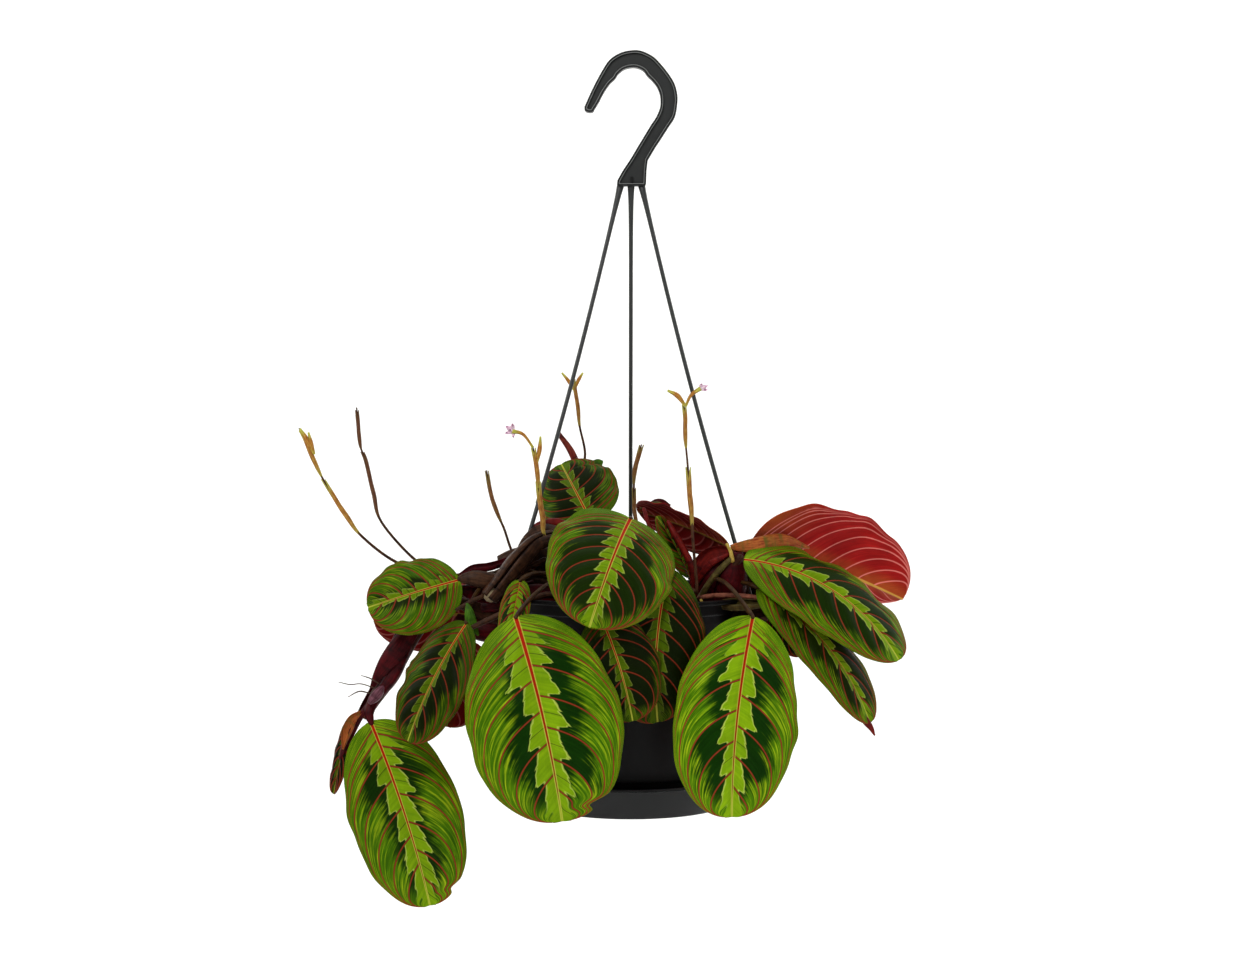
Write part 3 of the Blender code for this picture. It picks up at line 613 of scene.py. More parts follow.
def leaf_under_material():
    """Prayer plant leaf, underside: wine red, matter than the top, with pink veins and an ochre midrib."""
    material, tree, shader = new_material("prayer_leaf_under", 0.5, 1.42, 0.04)
    at = leaf_inputs(tree)
    streaks = at["streaks"]
    coordinates = node(tree, "TexCoord")
    mottle = node(tree, "TexNoise", {"Vector": coordinates.outputs["Object"], "Scale": 60.0, "Detail": 3.0})
    wine = node(tree, "Mix", {0: streaks, 6: linear("#5E0608"), 7: linear("#B01E1C")}, data_type="RGBA")
    ochre = node(
        tree, "MapRange", {0: at["reach"], 1: 0.02, 2: 0.3, 3: 0.75, 4: 0.0},
        interpolation_type="SMOOTHSTEP"
    )
    ochre = node(tree, "Math", {0: ochre, 1: mottle}, operation="MULTIPLY")
    base_ochre = node(
        tree, "MapRange", {0: at["fraction"], 1: 0.06, 2: 0.36, 3: 0.7, 4: 0.0},
        interpolation_type="SMOOTHSTEP"
    )
    base_ochre = node(tree, "Math", {0: base_ochre, 1: mottle}, operation="MULTIPLY")
    ochre = node(tree, "Math", {0: ochre, 1: base_ochre}, operation="MAXIMUM")
    skin = node(tree, "Mix", {0: ochre, 6: wine.outputs[2], 7: linear("#8E5220")}, data_type="RGBA")
    vein = node(
        tree, "MapRange", {0: at["from_vein"], 1: 0.2, 2: 0.6, 3: 0.85, 4: 0.0},
        interpolation_type="SMOOTHSTEP"
    )
    vein = node(tree, "Math", {0: vein, 1: at["strength"]}, operation="MULTIPLY")
    skin = node(tree, "Mix", {0: vein, 6: skin.outputs[2], 7: linear("#D07068")}, data_type="RGBA")
    past_rib = from_midrib(tree, at, 0.95, 0.05, 0.01)
    rib = node(
        tree, "MapRange", {0: past_rib, 1: -0.008, 2: 0.008, 3: 1.0, 4: 0.0},
        interpolation_type="SMOOTHSTEP"
    )
    skin = node(tree, "Mix", {0: rib, 6: skin.outputs[2], 7: linear("#B98A3C")}, data_type="RGBA")
    # random mottle in tone, scaled by the leaf's brightness: painted shade dims the undersides lying in the
    # plant's shadow, painted light brightens right_under
    shade = node(tree, "MapRange", {0: mottle, 1: 0.3, 2: 0.7, 3: 0.75, 4: 1.15})
    shade = node(tree, "Math", {0: shade, 1: at["glow"]}, operation="MULTIPLY")
    skin = node(tree, "VectorMath", {0: skin.outputs[2], "Scale": shade}, operation="SCALE")
    relief = node(tree, "Math", {0: vein, 1: streaks}, operation="ADD")
    dress(tree, shader, skin.outputs[0], relief, 0.4, 0.4)
    return material


# ---------------------------------------------------------------- leaf stalks, shoots and flower stalks

COMPOST_TOP = -297.0
# root on the compost, rise of the stalk there, and the direction from which it comes to its blade
Petiole = namedtuple("Petiole", "root rise approach")
PETIOLES = {
    "front_left": Petiole((-24, -34), 34, (12, 26, 18)),
    "front_right": Petiole((39, -35), 34, (-12, 26, 18)),
    "crown_front": Petiole((-2, -20), 42, (0, 16, 0)),
    "crown_back": Petiole((-12, 6), 30, (8, -6, -14)),
    "centre_low": Petiole((-6, -46), 28, (4, 20, 26)),
    "centre_dark": Petiole((13, -38), 22, (2, 10, 10)),
    "left_small": Petiole((-36, -2), 30, (26, 26, 4)),
    "left_under": Petiole((-42, 0), 26, (14, 4, 34)),
    "left_mid": Petiole((-36, -24), 34, (1, 40, 34)),
    "left_inner": Petiole((-48, -14), 26, (8, 4, 48)),
    "left_upper": Petiole((-30, -22), 22, (8, 14, 8)),
    "right_lower": Petiole((44, -20), 20, (-10, 18, 4)),
    "back_left": Petiole((-16, 30), 32, (6, -22, 30)),
    "back_right": Petiole((18, 32), 32, (-6, -22, 30)),
    "back_middle": Petiole((-4, 28), 26, (4, -10, -4)),
    "back_far_right": Petiole((36, 22), 22, (-14, -6, 6)),
    "back_far_left": Petiole((-36, 22), 22, (14, -6, 6)),
}
# x, y, z, radius
SHOOTS = {
    "shoot_trailing": [
        (-40, -24, -297, 2.0),
        (-56, -28, -280, 2.0),
        (-72, -32, -277, 2.2),
        (-100, -36, -289, 2.6),
        (-115, -36, -304, 4.4),
        (-125, -38, -319, 5.6),
        (-131, -42, -331, 4.6),
        (-137, -46, -341, 3.4),
        (-141, -49, -349, 2.0),
    ],
    "shoot_left": [
        (-20, -14, -297, 2.2),
        (-27, -18, -275, 2.4),
        (-42, -28, -257, 2.8),
        (-50, -35, -255, 3.2),
        (-59, -43, -264, 3.8),
        (-68, -46, -275, 4.2),
        (-76, -48, -284, 3.8),
    ],
    "shoot_right": [
        (30, -10, -297, 2.2),
        (39, -24, -283, 2.3),
        (49, -40, -276, 2.6),
        (58, -46, -264, 2.6),
    ],
}
# path of the stalk, how dry its bracts are, and each pair of bracts: from and to as places along the path,
# and their greatest radius
FlowerStalk = namedtuple("FlowerStalk", "path age bracts")
FLOWER_STALKS = {
    "flower_far_left": FlowerStalk(
        [(-44, 10, -297), (-62, 0, -271), (-103, -22, -277), (-127, -26, -268), (-145, -28, -254)]
        + [
            (-153, -29, -243), (-160, -29, -232), (-166, -30, -222), (-171, -30, -211), (-175, -30, -201),
            (-178, -30, -196)
        ],
        0.25,
        [(3.9, 6.9, 1.15), (6.9, 9.8, 1.1)],
    ),
    "flower_left": FlowerStalk(
        [(-46, 20, -297), (-62, 8, -272), (-100, -12, -278), (-117, -16, -268), (-135, -20, -247)]
        + [(-139, -22, -231), (-143, -22, -214), (-146, -22, -206), (-147, -22, -195), (-148, -22, -185)],
        0.95,
        [(3.9, 6.7, 1.0), (6.8, 8.9, 0.95)],
    ),
    "flower_inner_left": FlowerStalk(
        [
            (-28, -8, -297), (-43, -9, -273), (-61, -14, -269), (-69, -18, -250), (-73, -20, -240),
            (-76, -20, -230), (-78, -20, -219)
        ],
        0.8,
        [(3.0, 6.0, 1.0)],
    ),
    "flower_open_left": FlowerStalk(
        [
            (-14, -26, -297), (-30, -32, -268), (-45, -40, -255), (-47, -40, -242), (-49, -41, -229),
            (-50, -41, -216), (-52, -41, -206)
        ],
        0.3,
        [(2.0, 4.4, 1.3), (4.1, 6.0, 1.15)],
    ),
    "flower_back": FlowerStalk(
        [
            (8, 18, -297), (2, 30, -262), (-24, 44, -230), (-26, 46, -210), (-29, 46, -196),
            (-30, 46, -184), (-32, 46, -173), (-33, 46, -167)
        ],
        0.5,
        [(3.8, 6.6, 1.0)],
    ),
    "flower_middle": FlowerStalk(
        [
            (10, 4, -297), (8, 8, -268), (3, 12, -248), (2, 14, -237), (2, 14, -223), (4, 14, -214),
            (6, 14, -206)
        ],
        0.75,
        [(1.6, 3.6, 1.0), (3.5, 6.0, 1.2)],
    ),
    "flower_open_right": FlowerStalk(
        [(25, -38, -297), (32, -46, -282), (35, -50, -281), (33, -52, -257), (32, -50, -239)]
        + [(31, -48, -226), (30, -46, -213), (29, -45, -202), (29, -45, -191), (28, -45, -182)],
        0.35,
        [(3.4, 5.8, 1.25), (6.5, 8.9, 1.05)],
    ),
    "rolled_leaf": FlowerStalk(
        [
            (-20, 14, -297), (-24, 26, -262), (-23, 38, -232), (-29, 40, -221), (-34, 40, -210),
            (-41, 40, -200)
        ],
        0,
        [],
    ),
}
# forked yellow-green ends of the bracts: x, y, z, radius
FLOWER_TIPS = {
    "tip_far_left": [(-171, -30, -210, 0.6), (-174, -30, -202, 1.2), (-177.5, -30, -196, 0.5)],
    "tip_far_left_short": [(-170, -30, -210, 0.6), (-171.5, -30, -204, 1.0), (-173, -30, -198, 0.4)],
    "tip_left_open": [(-50, -41, -214, 0.6), (-48.5, -41, -207, 1.1), (-48, -42, -200, 0.4)],
    "tip_back_left": [(-32, 46, -176, 0.5), (-35, 46, -171, 0.9), (-39, 46, -166, 0.4)],
    "tip_back_right": [(-32, 46, -176, 0.5), (-29.5, 46, -170, 0.9), (-27, 46, -166, 0.4)],
    "tip_right_fork": [(29, -45, -184, 0.6), (25, -45, -178.5, 1.2), (19.5, -45, -175.5, 0.5)],
    "pedicel_left": [(-52, -41, -206, 0.6), (-57, -42, -199, 0.7), (-63, -43, -197, 1.1)],
    "pedicel_right": [(29, -45, -184, 0.6), (32, -45, -178, 0.8), (37, -45, -174.5, 1.1)],
}
# centre of each flower and its petals: direction, length, width
FLOWERS = {
    "left": (
        (-62, -43, -197),
        [
            ((-1, -0.2, 0.5), 5.5, 2.6), ((-1, 0.1, -0.3), 5, 2.2), ((-0.3, -0.4, 1), 5, 2.4),
            ((-0.2, 0.3, -1), 3.6, 2)
        ]
        + [((-0.8, -0.6, 0.1), 4, 2)],
    ),
    "right": (
        (36.5, -45, -174.5),
        [((1, -0.2, 0.35), 5, 2), ((0.9, 0.1, -0.2), 4.4, 1.8), ((0.4, -0.4, 1), 3.6, 1.8)],
    ),
}
# sheaths and cut stems round the feet of the clusters. turn is where a roll opens, in radians, and wrap how
# much of a full turn it covers, with 0 for a solid stem. A run's rows are x, y, z and half width.
Sheath = namedtuple("Sheath", "name skin turn wrap flatten run")
SHEATHS = [
    Sheath(
        "sheath_trailing", "maroon", 0.4, 0.8, 0.6,
        [
            (-108, -35, -288, 3), (-115, -34, -296, 4.6), (-121, -36, -307, 6.6), (-126, -39, -318, 7.2),
            (-130, -42, -328, 6.4), (-136, -45, -337, 4.8), (-142, -48, -345, 3), (-146, -50, -352, 1.2)
        ]
    ),
    Sheath(
        "sheath_trailing_inner", "maroon", 3.6, 0.7, 0.55,
        [
            (-110, -40, -294, 2), (-118, -43, -305, 4.6), (-127, -46, -317, 5), (-134, -47, -327, 2.8),
            (-138, -48, -334, 0.8)
        ]
    ),
    Sheath(
        "joint_trailing", "maroon", 0, 0, 1,
        [(-136, -46, -339, 3), (-139, -50, -346, 2.8), (-137.5, -52, -352, 1.5)]
    ),
    Sheath(
        "bud_trailing", "purple", 1.2, 1.1, 0.8,
        [
            (-131, -53, -332, 0.6), (-132.5, -54, -334, 2.2), (-135, -54, -337, 2.8),
            (-137, -54, -339.5, 2.2), (-138.5, -53, -341, 0.8)
        ]
    ),
    Sheath(
        "dried_bract_trailing", "orange", 0.4, 0.7, 0.6,
        [(-143, -50, -346, 0.8), (-148, -52, -350, 2.4), (-151, -52, -357, 2.6), (-153, -51, -366, 0.4)]
    ),
    Sheath(
        "dried_bract_trailing_low", "maroon", 2.4, 0.7, 0.6,
        [(-141, -48, -345, 1.4), (-147, -49, -353, 2.6), (-151, -49, -362, 2.2), (-155, -47, -372, 0.6)]
    ),
    Sheath(
        "thread_upper", "dry", 0, 0, 1,
        [(-136, -52, -333, 0.35), (-143, -51, -331, 0.3), (-149, -50, -331.5, 0.3), (-155, -51, -330, 0.2)]
    ),
    Sheath(
        "thread_lower", "dry", 0, 0, 1,
        [(-138, -52, -336, 0.35), (-144, -51, -335, 0.4), (-150, -51, -338, 0.2)]
    ),
    Sheath(
        "thread_hanging", "dry", 0, 0, 1,
        [(-133, -52, -331, 0.3), (-138, -52, -328, 0.35), (-143, -51, -326.5, 0.2)]
    ),
    Sheath(
        "sheath_left_small", "umber", 0.5, 0.8, 0.7,
        [
            (-92, -46, -276, 1.0), (-89, -45.5, -275.5, 2.6), (-83, -45, -275, 4.2),
            (-76, -44, -276.5, 4.4), (-69, -42, -277, 3.4), (-62, -36, -274, 2)
        ]
    ),
    Sheath(
        "sheath_left_small_upper", "maroon", 2.2, 0.7, 0.6,
        [
            (-91, -44, -273.5, 0.8), (-84, -42, -270.5, 2), (-75, -39, -269.5, 2.2), (-64, -35, -266, 1.8),
            (-54, -30, -260, 1.6)
        ]
    ),
    Sheath(
        "sheath_left_small_lower", "maroon", 3.4, 0.7, 0.6,
        [
            (-93, -43, -281, 1.4), (-86, -42, -283, 3.8), (-76, -40, -285, 4.4), (-64, -36, -284, 3.6),
            (-52, -30, -280, 2.6)
        ]
    ),
    Sheath(
        "stem_left_crossing", "umber", 0, 0, 1,
        [
            (-92, -57, -291, 0.9), (-85, -56, -287, 1.1), (-76, -52, -283, 1.2), (-62, -46, -274, 1.3),
            (-46, -36, -266, 1.4)
        ]
    ),
    Sheath(
        "stem_left_low", "umber", 0, 0, 1,
        [
            (-86, -64, -301, 1.2), (-76, -66, -296, 1.5), (-62, -62, -290, 1.6), (-45, -48, -284, 1.8),
            (-34, -28, -290, 2)
        ]
    ),
    Sheath(
        "stem_left_deep", "maroon", 0, 0, 1,
        [(-86, -22, -300, 1.6), (-72, -26, -290, 2.2), (-58, -28, -286, 2.4), (-40, -22, -292, 2.4)]
    ),
    Sheath(
        "sheath_left_arch", "umber", 0.3, 0.8, 0.8,
        [
            (-60, -33, -274, 2.4), (-57, -32, -262, 4.4), (-51, -31, -255, 5.4), (-44, -30, -253.5, 5.6),
            (-37, -28, -258, 5.2), (-34, -25, -268, 4.6), (-31, -20, -284, 3.6)
        ]
    ),
    Sheath(
        "sheath_left_cut", "umber", 0.8, 0.95, 0.9,
        [
            (-42, -34, -254, 4), (-51, -42, -257, 5), (-60, -49, -266, 5.4), (-67, -52, -275, 5.3),
            (-75, -53, -285, 4.8)
        ]
    ),
    Sheath("stem_left_cut_end", "cut", 0, 0, 0.9, [(-73, -52.7, -282.4, 3.9), (-74.8, -52.9, -284.8, 3.7)]),
    Sheath(
        "young_leaf_left", "leaf_green", 0.4, 0.6, 0.5,
        [(-86, -62, -287, 0.5), (-84.5, -63, -292, 2.4), (-83, -63, -298, 2.6), (-80, -62, -304, 0.5)]
    ),
    Sheath(
        "sheath_left_fill_upper", "umber", 0.5, 0.7, 0.5,
        [(-92, -26, -290, 3), (-80, -28, -294, 6), (-66, -28, -296, 7), (-50, -24, -296, 6)]
    ),
    Sheath(
        "sheath_left_fill_lower", "maroon", 0.5, 0.7, 0.5,
        [(-94, -26, -298, 2), (-84, -30, -303, 5.5), (-72, -30, -305, 5.5), (-62, -26, -300, 5)]
    ),
    Sheath(
        "dog_ear_crown_back", "leaf_green", 0.4, 0.55, 0.5,
        [(-29, 22, -222, 0.6), (-24, 24, -219, 2.4), (-18, 25, -216.5, 2.6), (-15.5, 25, -215.5, 0.4)]
    ),
    Sheath(
        "drip_tip_right_lower", "red", 0.4, 0.7, 0.6,
        [(119, -62, -342, 0.8), (123, -62.5, -348, 1.9), (126.5, -62, -353, 1.3), (128.5, -61, -357, 0.3)]
    ),
    Sheath(
        "sheath_left_shade_upper", "umber", 0.5, 0.7, 0.5,
        [(-72, -20, -268, 2.6), (-60, -20, -266, 6), (-46, -18, -268, 8), (-32, -14, -276, 8)]
    ),
    Sheath(
        "sheath_left_shade_middle", "umber", 2.5, 0.7, 0.5,
        [(-84, -24, -284, 3), (-68, -26, -278, 6.4), (-50, -24, -276, 8.4), (-34, -20, -282, 8)]
    ),
    Sheath(
        "sheath_left_shade_lower", "maroon", 0.5, 0.7, 0.5,
        [(-80, -30, -292, 3), (-66, -36, -288, 6), (-50, -36, -286, 7.6), (-38, -30, -288, 7)]
    ),
    Sheath(
        "red_tip_left", "red", 0.4, 0.6, 0.6,
        [(-54, -30, -249.5, 0.3), (-48, -29, -247.5, 2.0), (-41, -28, -247, 2.8), (-34, -26, -248, 2.2)]
    ),
    Sheath(
        "stem_crown", "umber", 0, 0, 1,
        [(-30, -14, -296, 2.2), (-34, -20, -276, 2.4), (-30, -24, -258, 2), (-20, -18, -248, 1.6)]
    ),
    Sheath(
        "node_right", "dry_yellow", 0, 0, 1,
        [(51, -46, -257, 0.8), (53, -47, -261, 1.0), (54, -47, -266, 1.3)]
    ),
    Sheath(
        "sheath_right_wide", "maroon", 0.5, 0.75, 0.6,
        [(57, -45, -261, 2.6), (56, -43, -270, 6.6), (54, -40, -280, 8.4), (52, -35, -291, 8)]
    ),
    Sheath(
        "sheath_right_wide_back", "umber", 2.2, 0.7, 0.5,
        [(62, -38, -264, 3), (64, -36, -274, 6), (62, -34, -284, 7), (58, -30, -293, 6)]
    ),
    Sheath(
        "sheath_right_bract", "red", 0.4, 0.7, 0.6,
        [
            (54, -45, -261, 1.4), (48, -43, -262, 4.2), (41, -41, -265, 5.2), (36, -39, -272, 4.6),
            (33, -35, -281, 2)
        ]
    ),
    Sheath(
        "sheath_right_bract_dark", "maroon", 2.6, 0.7, 0.6,
        [(50, -40, -266, 3), (43, -38, -273, 6), (40, -35, -282, 7), (40, -32, -292, 6)]
    ),
    Sheath(
        "stem_right_olive", "olive", 0, 0, 1,
        [(53, -47, -265, 1.4), (47, -46, -271, 1.7), (41, -44, -279, 1.6), (36, -40, -288, 1.8)]
    ),
    Sheath(
        "stem_right_crossing", "brown_pink", 0, 0, 1,
        [(74, -58, -286, 1.2), (62, -56, -284, 1.3), (46, -50, -284, 1.3), (36, -44, -286, 1.3)]
    ),
    Sheath(
        "sheath_right_olive", "olive", 0.5, 0.8, 0.75,
        [(74, -58, -287.5, 1), (64, -57, -288, 2.8), (53, -54, -288.5, 3.2), (44, -49, -288.5, 1.4)]
    ),
    Sheath(
        "sheath_right_low", "umber", 0.5, 0.7, 0.5,
        [(80, -50, -290, 2), (68, -52, -294, 4.4), (54, -48, -296, 6), (42, -42, -296, 5)]
    ),
    Sheath(
        "stem_right_red_outer", "red", 0, 0, 1,
        [
            (20, -34, -246, 1.2), (24, -36, -253, 1.8), (29, -36, -262, 1.9), (33, -36, -271, 2),
            (35, -33, -286, 2.2)
        ]
    ),
    Sheath(
        "stem_right_red_inner", "red", 0, 0, 1,
        [(7, -32, -239, 1), (10, -34, -248, 1.2), (16, -36, -259, 1.4), (22, -34, -276, 1.6)]
    ),
    Sheath(
        "sheath_under_leaf", "orange", 0.4, 0.75, 0.3,
        [
            (53, -43, -259, 1.2), (62, -41, -258.5, 3.4), (73, -36, -257, 4.2), (84, -29, -256.5, 3.4),
            (97, -18, -261, 0.6)
        ]
    ),
    Sheath(
        "sheath_under_leaf_low", "red", 2.4, 0.7, 0.35,
        [(55, -42, -263, 1.6), (66, -40, -264, 4.6), (78, -34, -266, 4.6), (92, -26, -270, 1)]
    ),
    Sheath(
        "tip_middle_olive", "olive", 0.4, 0.7, 0.7,
        [(5, -2, -240.5, 0.5), (10, -1, -239, 1.3), (15, -1, -238.3, 1.5), (21, -1, -239.5, 0.4)]
    ),
    Sheath(
        "tip_middle_dark", "maroon", 0.4, 0.7, 0.7,
        [(11, 0, -237.3, 0.3), (14.5, 0, -236.3, 1.0), (18, 0, -236.8, 1.0), (22, 0, -239, 0.3)]
    ),
    Sheath(
        "dried_sheath_right", "dry_yellow", 0.4, 0.7, 0.6,
        [(37, -50, -286, 0.5), (39, -51, -291, 1.3), (41, -52, -295, 1.2), (43, -52, -300, 0.3)]
    ),
]


SHEATH_THICKNESS = 0.25
THINNEST_SHEATH = 0.15
PETAL_THICKNESS = 0.18


def stalk_material(name, low, high, dark_spot):
    """Skin of a stalk or sheath: smooth and satin, with fine fibres along it and darker freckles."""
    material, tree, shader = new_material(name, 0.45, 1.42, 0.12)
    grain = node(tree, "Attribute", attribute_name="grain")
    stretched = node(
        tree, "VectorMath", {0: grain.outputs["Vector"], 1: (2.5, 2.5, 0.12)}, operation="MULTIPLY"
    )
    fibres = node(tree, "TexNoise", {"Vector": stretched, "Scale": 1.6, "Detail": 4.0, "Roughness": 0.65})
    blotch = node(tree, "TexNoise", {"Vector": grain.outputs["Vector"], "Scale": 0.35, "Detail": 2.0})
    colour = node(tree, "ValToRGB", {0: fibres}, ramp=[(0.3, low), (0.7, high)])
    spots = node(tree, "MapRange", {0: blotch, 1: 0.45, 2: 0.7, 3: 0.0, 4: 0.8})
    colour = node(tree, "Mix", {0: spots, 6: colour, 7: linear(dark_spot)}, data_type="RGBA")
    dress(tree, shader, colour.outputs[2], fibres, 0.4, 0.3)
    return material


def bract_material():
    """Papery bract: a thin dry skin with fine lengthwise ribs, yellow-green at both ends while fresh, orange
    tan between them, and brown all over once dried."""
    material, tree, shader = new_material("papery_bract", 0.55, 1.4, 0.2)
    grain = node(tree, "Attribute", attribute_name="grain")
    ends = node(tree, "Attribute", attribute_name="ends")
    parts = node(tree, "SeparateXYZ", {0: ends.outputs["Vector"]})
    stretched = node(
        tree, "VectorMath", {0: grain.outputs["Vector"], 1: (3.5, 3.5, 0.15)}, operation="MULTIPLY"
    )
    ribs = node(tree, "TexNoise", {"Vector": stretched, "Scale": 1.8, "Detail": 4.0})
    tan = node(tree, "ValToRGB", {0: ribs}, ramp=[(0.34, "#5E1E0C"), (0.5, "#A8601E"), (0.66, "#D4AC50")])
    brown = node(tree, "ValToRGB", {0: ribs}, ramp=[(0.3, "#2A1610"), (0.7, "#6A4230")])
    green = node(tree, "ValToRGB", {0: ribs}, ramp=[(0.34, "#6E7A14"), (0.66, "#E2DA66")])
    end = node(
        tree, "ValToRGB", {0: parts.outputs[0]}, ramp=[(0, 1.0), (0.24, 0.15), (0.62, 0.0), (0.9, 1.0)]
    )
    colour = node(tree, "Mix", {0: end, 6: tan, 7: green}, data_type="RGBA")
    colour = node(tree, "Mix", {0: parts.outputs[1], 6: colour.outputs[2], 7: brown}, data_type="RGBA")
    dress(tree, shader, colour.outputs[2], ribs, 0.6, 0.3)
    return material


def petal_material():
    """Petal: thin, soft and matt, white flushed with pink, with purple flecks towards its end."""
    material, tree, shader = new_material("flower_petal", 0.6, 1.4, 0.2)
    ends = node(tree, "Attribute", attribute_name="ends")
    parts = node(tree, "SeparateXYZ", {0: ends.outputs["Vector"]})
    coordinates = node(tree, "TexCoord")
    fleck = node(tree, "TexNoise", {"Vector": coordinates.outputs["Object"], "Scale": 900.0, "Detail": 1.0})
    blush = node(
        tree, "Mix", {0: parts.outputs[0], 6: linear("#F2E6EC"), 7: linear("#D9A0C0")}, data_type="RGBA"
    )
    flecks = node(tree, "MapRange", {0: fleck, 1: 0.52, 2: 0.58})
    flecks = node(tree, "Math", {0: flecks, 1: parts.outputs[0]}, operation="MULTIPLY")
    colour = node(tree, "Mix", {0: flecks, 6: blush.outputs[2], 7: linear("#5E1A52")}, data_type="RGBA")
    dress(tree, shader, colour.outputs[2], fleck, 0.3, 0.2)
    return material


def bezier(p0, p1, p2, p3, count):
    """count + 1 points of a cubic Bezier curve."""
    u = np.linspace(0, 1, count + 1)[:, None]
    return (1 - u) ** 3 * p0 + 3 * u * (1 - u) ** 2 * p1 + 3 * u**2 * (1 - u) * p2 + u**3 * p3


def add_petiole(leaf, material):
    """The leaf stalk: sheathed and thicker at its foot, thin above, with a swollen joint at the blade."""
    stalk = PETIOLES[leaf.name]
    foot = np.array((*stalk.root, COMPOST_TOP - 1.0))
    base = np.array(leaf.base, float)
    line = bezier(
        foot, foot + (0, 0, stalk.rise), base + stalk.approach, base + blade_axes(leaf)[0] * 0.4, 40
    )
    length = run_length(line)
    left = length[-1] - length
    radii = 1.15 + 0.75 * (
        1 - between(0, 26, length)
    ) + 0.25 * between(1, 4, left) * (1 - between(6, 10, left))
    add_tube(f"leaf_stalk_{leaf.name}", line, radii, material, [f"petiole_{leaf.name}"])


def add_shoots(material):
    """The bare stems that carry the outer leaves."""
    for name, run in SHOOTS.items():
        line, radii = smooth_run(run, 48)
        add_tube(name.replace("shoot", "stem"), line, radii, material, [name])


def add_sheath(name, line, radii, material, turn, wrap, flatten=1.0, age=0.5):
    """A thin skin rolled round a line, wrap of a full turn, ribbed lengthwise. age runs from 0, fresh, to 1,
    dried brown."""
    line = np.asarray(line, float)
    _, side, other = travel_frames(line)
    bm, along, around = laid_grid(max(18, 2 * len(line)), 18)
    at = np.linspace(0, 1, len(line))
    centre, one, two = (read_between(along, at, rows) for rows in (line, side, other))
    angle = turn + (around - 0.5) * wrap * math.tau
    size = np.interp(along, at, radii) * (0.92 + 0.16 * around)
    size *= 1 + 0.05 * np.sin(7 * angle + 2 * along) + 0.04 * np.sin(11 * along + 3 * around + turn)
    points = centre + one * (size * flatten * np.cos(angle))[:, None] + two * (size * np.sin(angle))[:, None]
    move_vertices(bm, points)
    grain = np.stack([np.cos(angle), np.sin(angle), along * run_length(line)[-1]], 1)
    ends = np.stack([along, np.full_like(along, age), around], 1)
    piece = finish_piece(name, bm, [material], attributes={"grain": grain, "ends": ends})
    thicken(piece, SHEATH_THICKNESS)


def add_loose_sheaths(skins):
    """Folded sheaths at the foot of each cluster of leaves, cut and dried ends, and threads of dead leaf."""
    for sheath in SHEATHS:
        line, radii = smooth_run(sheath.run, 6 * (len(sheath.run) - 1))
        radii = np.maximum(radii, THINNEST_SHEATH)
        if sheath.wrap:
            add_sheath(
                sheath.name, line, radii, skins[sheath.skin], sheath.turn, sheath.wrap,
                sheath.flatten
            )
        else:
            add_tube(
                sheath.name, line, radii, skins[sheath.skin], sides=12, flatten=sheath.flatten
            )


def add_petal(name, base, towards, length, width, material):
    """A small pointed petal that curls outward."""
    bm, along, over = laid_grid(12, 8)
    towards = np.array(towards, float) / np.linalg.norm(towards)
    across = np.cross(towards, (0.2, -1.0, 0.1))
    across /= np.linalg.norm(across)
    out = np.cross(across, towards)
    half = width / 2 * np.sin(math.pi * np.clip(along, 0.06, 1) ** 0.8) ** 0.8 * (over * 2 - 1)
    curl = 0.9 * along**2 * length * 0.35 - (half / width) ** 2 * width
    points = np.array(base) + towards * (along * length)[:, None]
    points = points + across * half[:, None] + out * curl[:, None]
    move_vertices(bm, points)
    ends = np.stack([along, over, half], 1)
    piece = finish_piece(name, bm, [material], attributes={"ends": ends})
    thicken(piece, PETAL_THICKNESS)


def add_flower_stalks(stem, bract, rolled, petal):
    """Wiry stalks with two bracts at each joint, the open flowers, and the leaf that is still rolled up."""
    for name, stalk in FLOWER_STALKS.items():
        count = 8 * (len(stalk.path) - 1)
        line = smooth_line(stalk.path, count)
        if name == "rolled_leaf":
            radii = np.interp(np.linspace(0, 5, count + 1), [0, 2, 2.7, 4, 5], [1.2, 1.2, 2.3, 2.0, 1.3])
            add_tube("rolled_young_leaf", line, radii, rolled, [name])
            continue
        radii = np.interp(np.linspace(0, 1, count + 1), [0, 0.4, 1], [1.1, 0.75, 0.4])
        add_tube(f"stalk_of_{name}", line, radii, stem, [name], sides=10)
        for number, (first, last, radius) in enumerate(stalk.bracts):
            part = line[int(first * 8) : int(last * 8) + 1]
            for half in range(2):
                inner = part[int(len(part) * 0.3) * half :]
                place = np.linspace(0, 1, len(inner))
                away = np.array((0.9 if half else -0.7, -0.5 * half, 0)) * radius
                inner = inner + away * (0.3 + 0.9 * place**2)[:, None] * place[:, None]
                width = radius * (1 - 0.25 * half) * np.sin(
                    math.pi * np.clip(place, 0.02, 0.97) ** 0.75
                ) ** 0.7
                width = np.maximum(width, 0.14)
                turn = 1.1 + number + half * 3.0
                add_sheath(
                    f"bract_{name}_{number}_{half}", inner, width, bract, turn, 1.1, 0.8,
                    stalk.age
                )
    for name, run in FLOWER_TIPS.items():
        line, radii = smooth_run(run, 10)
        add_sheath(name, line, radii, bract, 0.6, 1.1, 0.8, 0.1)
    for name, (centre, petals) in FLOWERS.items():
        for number, (towards, length, width) in enumerate(petals):
            add_petal(f"petal_{name}_{number}", centre, towards, length, width, petal)


# ---------------------------------------------------------------- pot, saucer, compost and hanger

RIM_Z = -286.0
FOOT_Z = -394.0
SAUCER_Z = -403.0


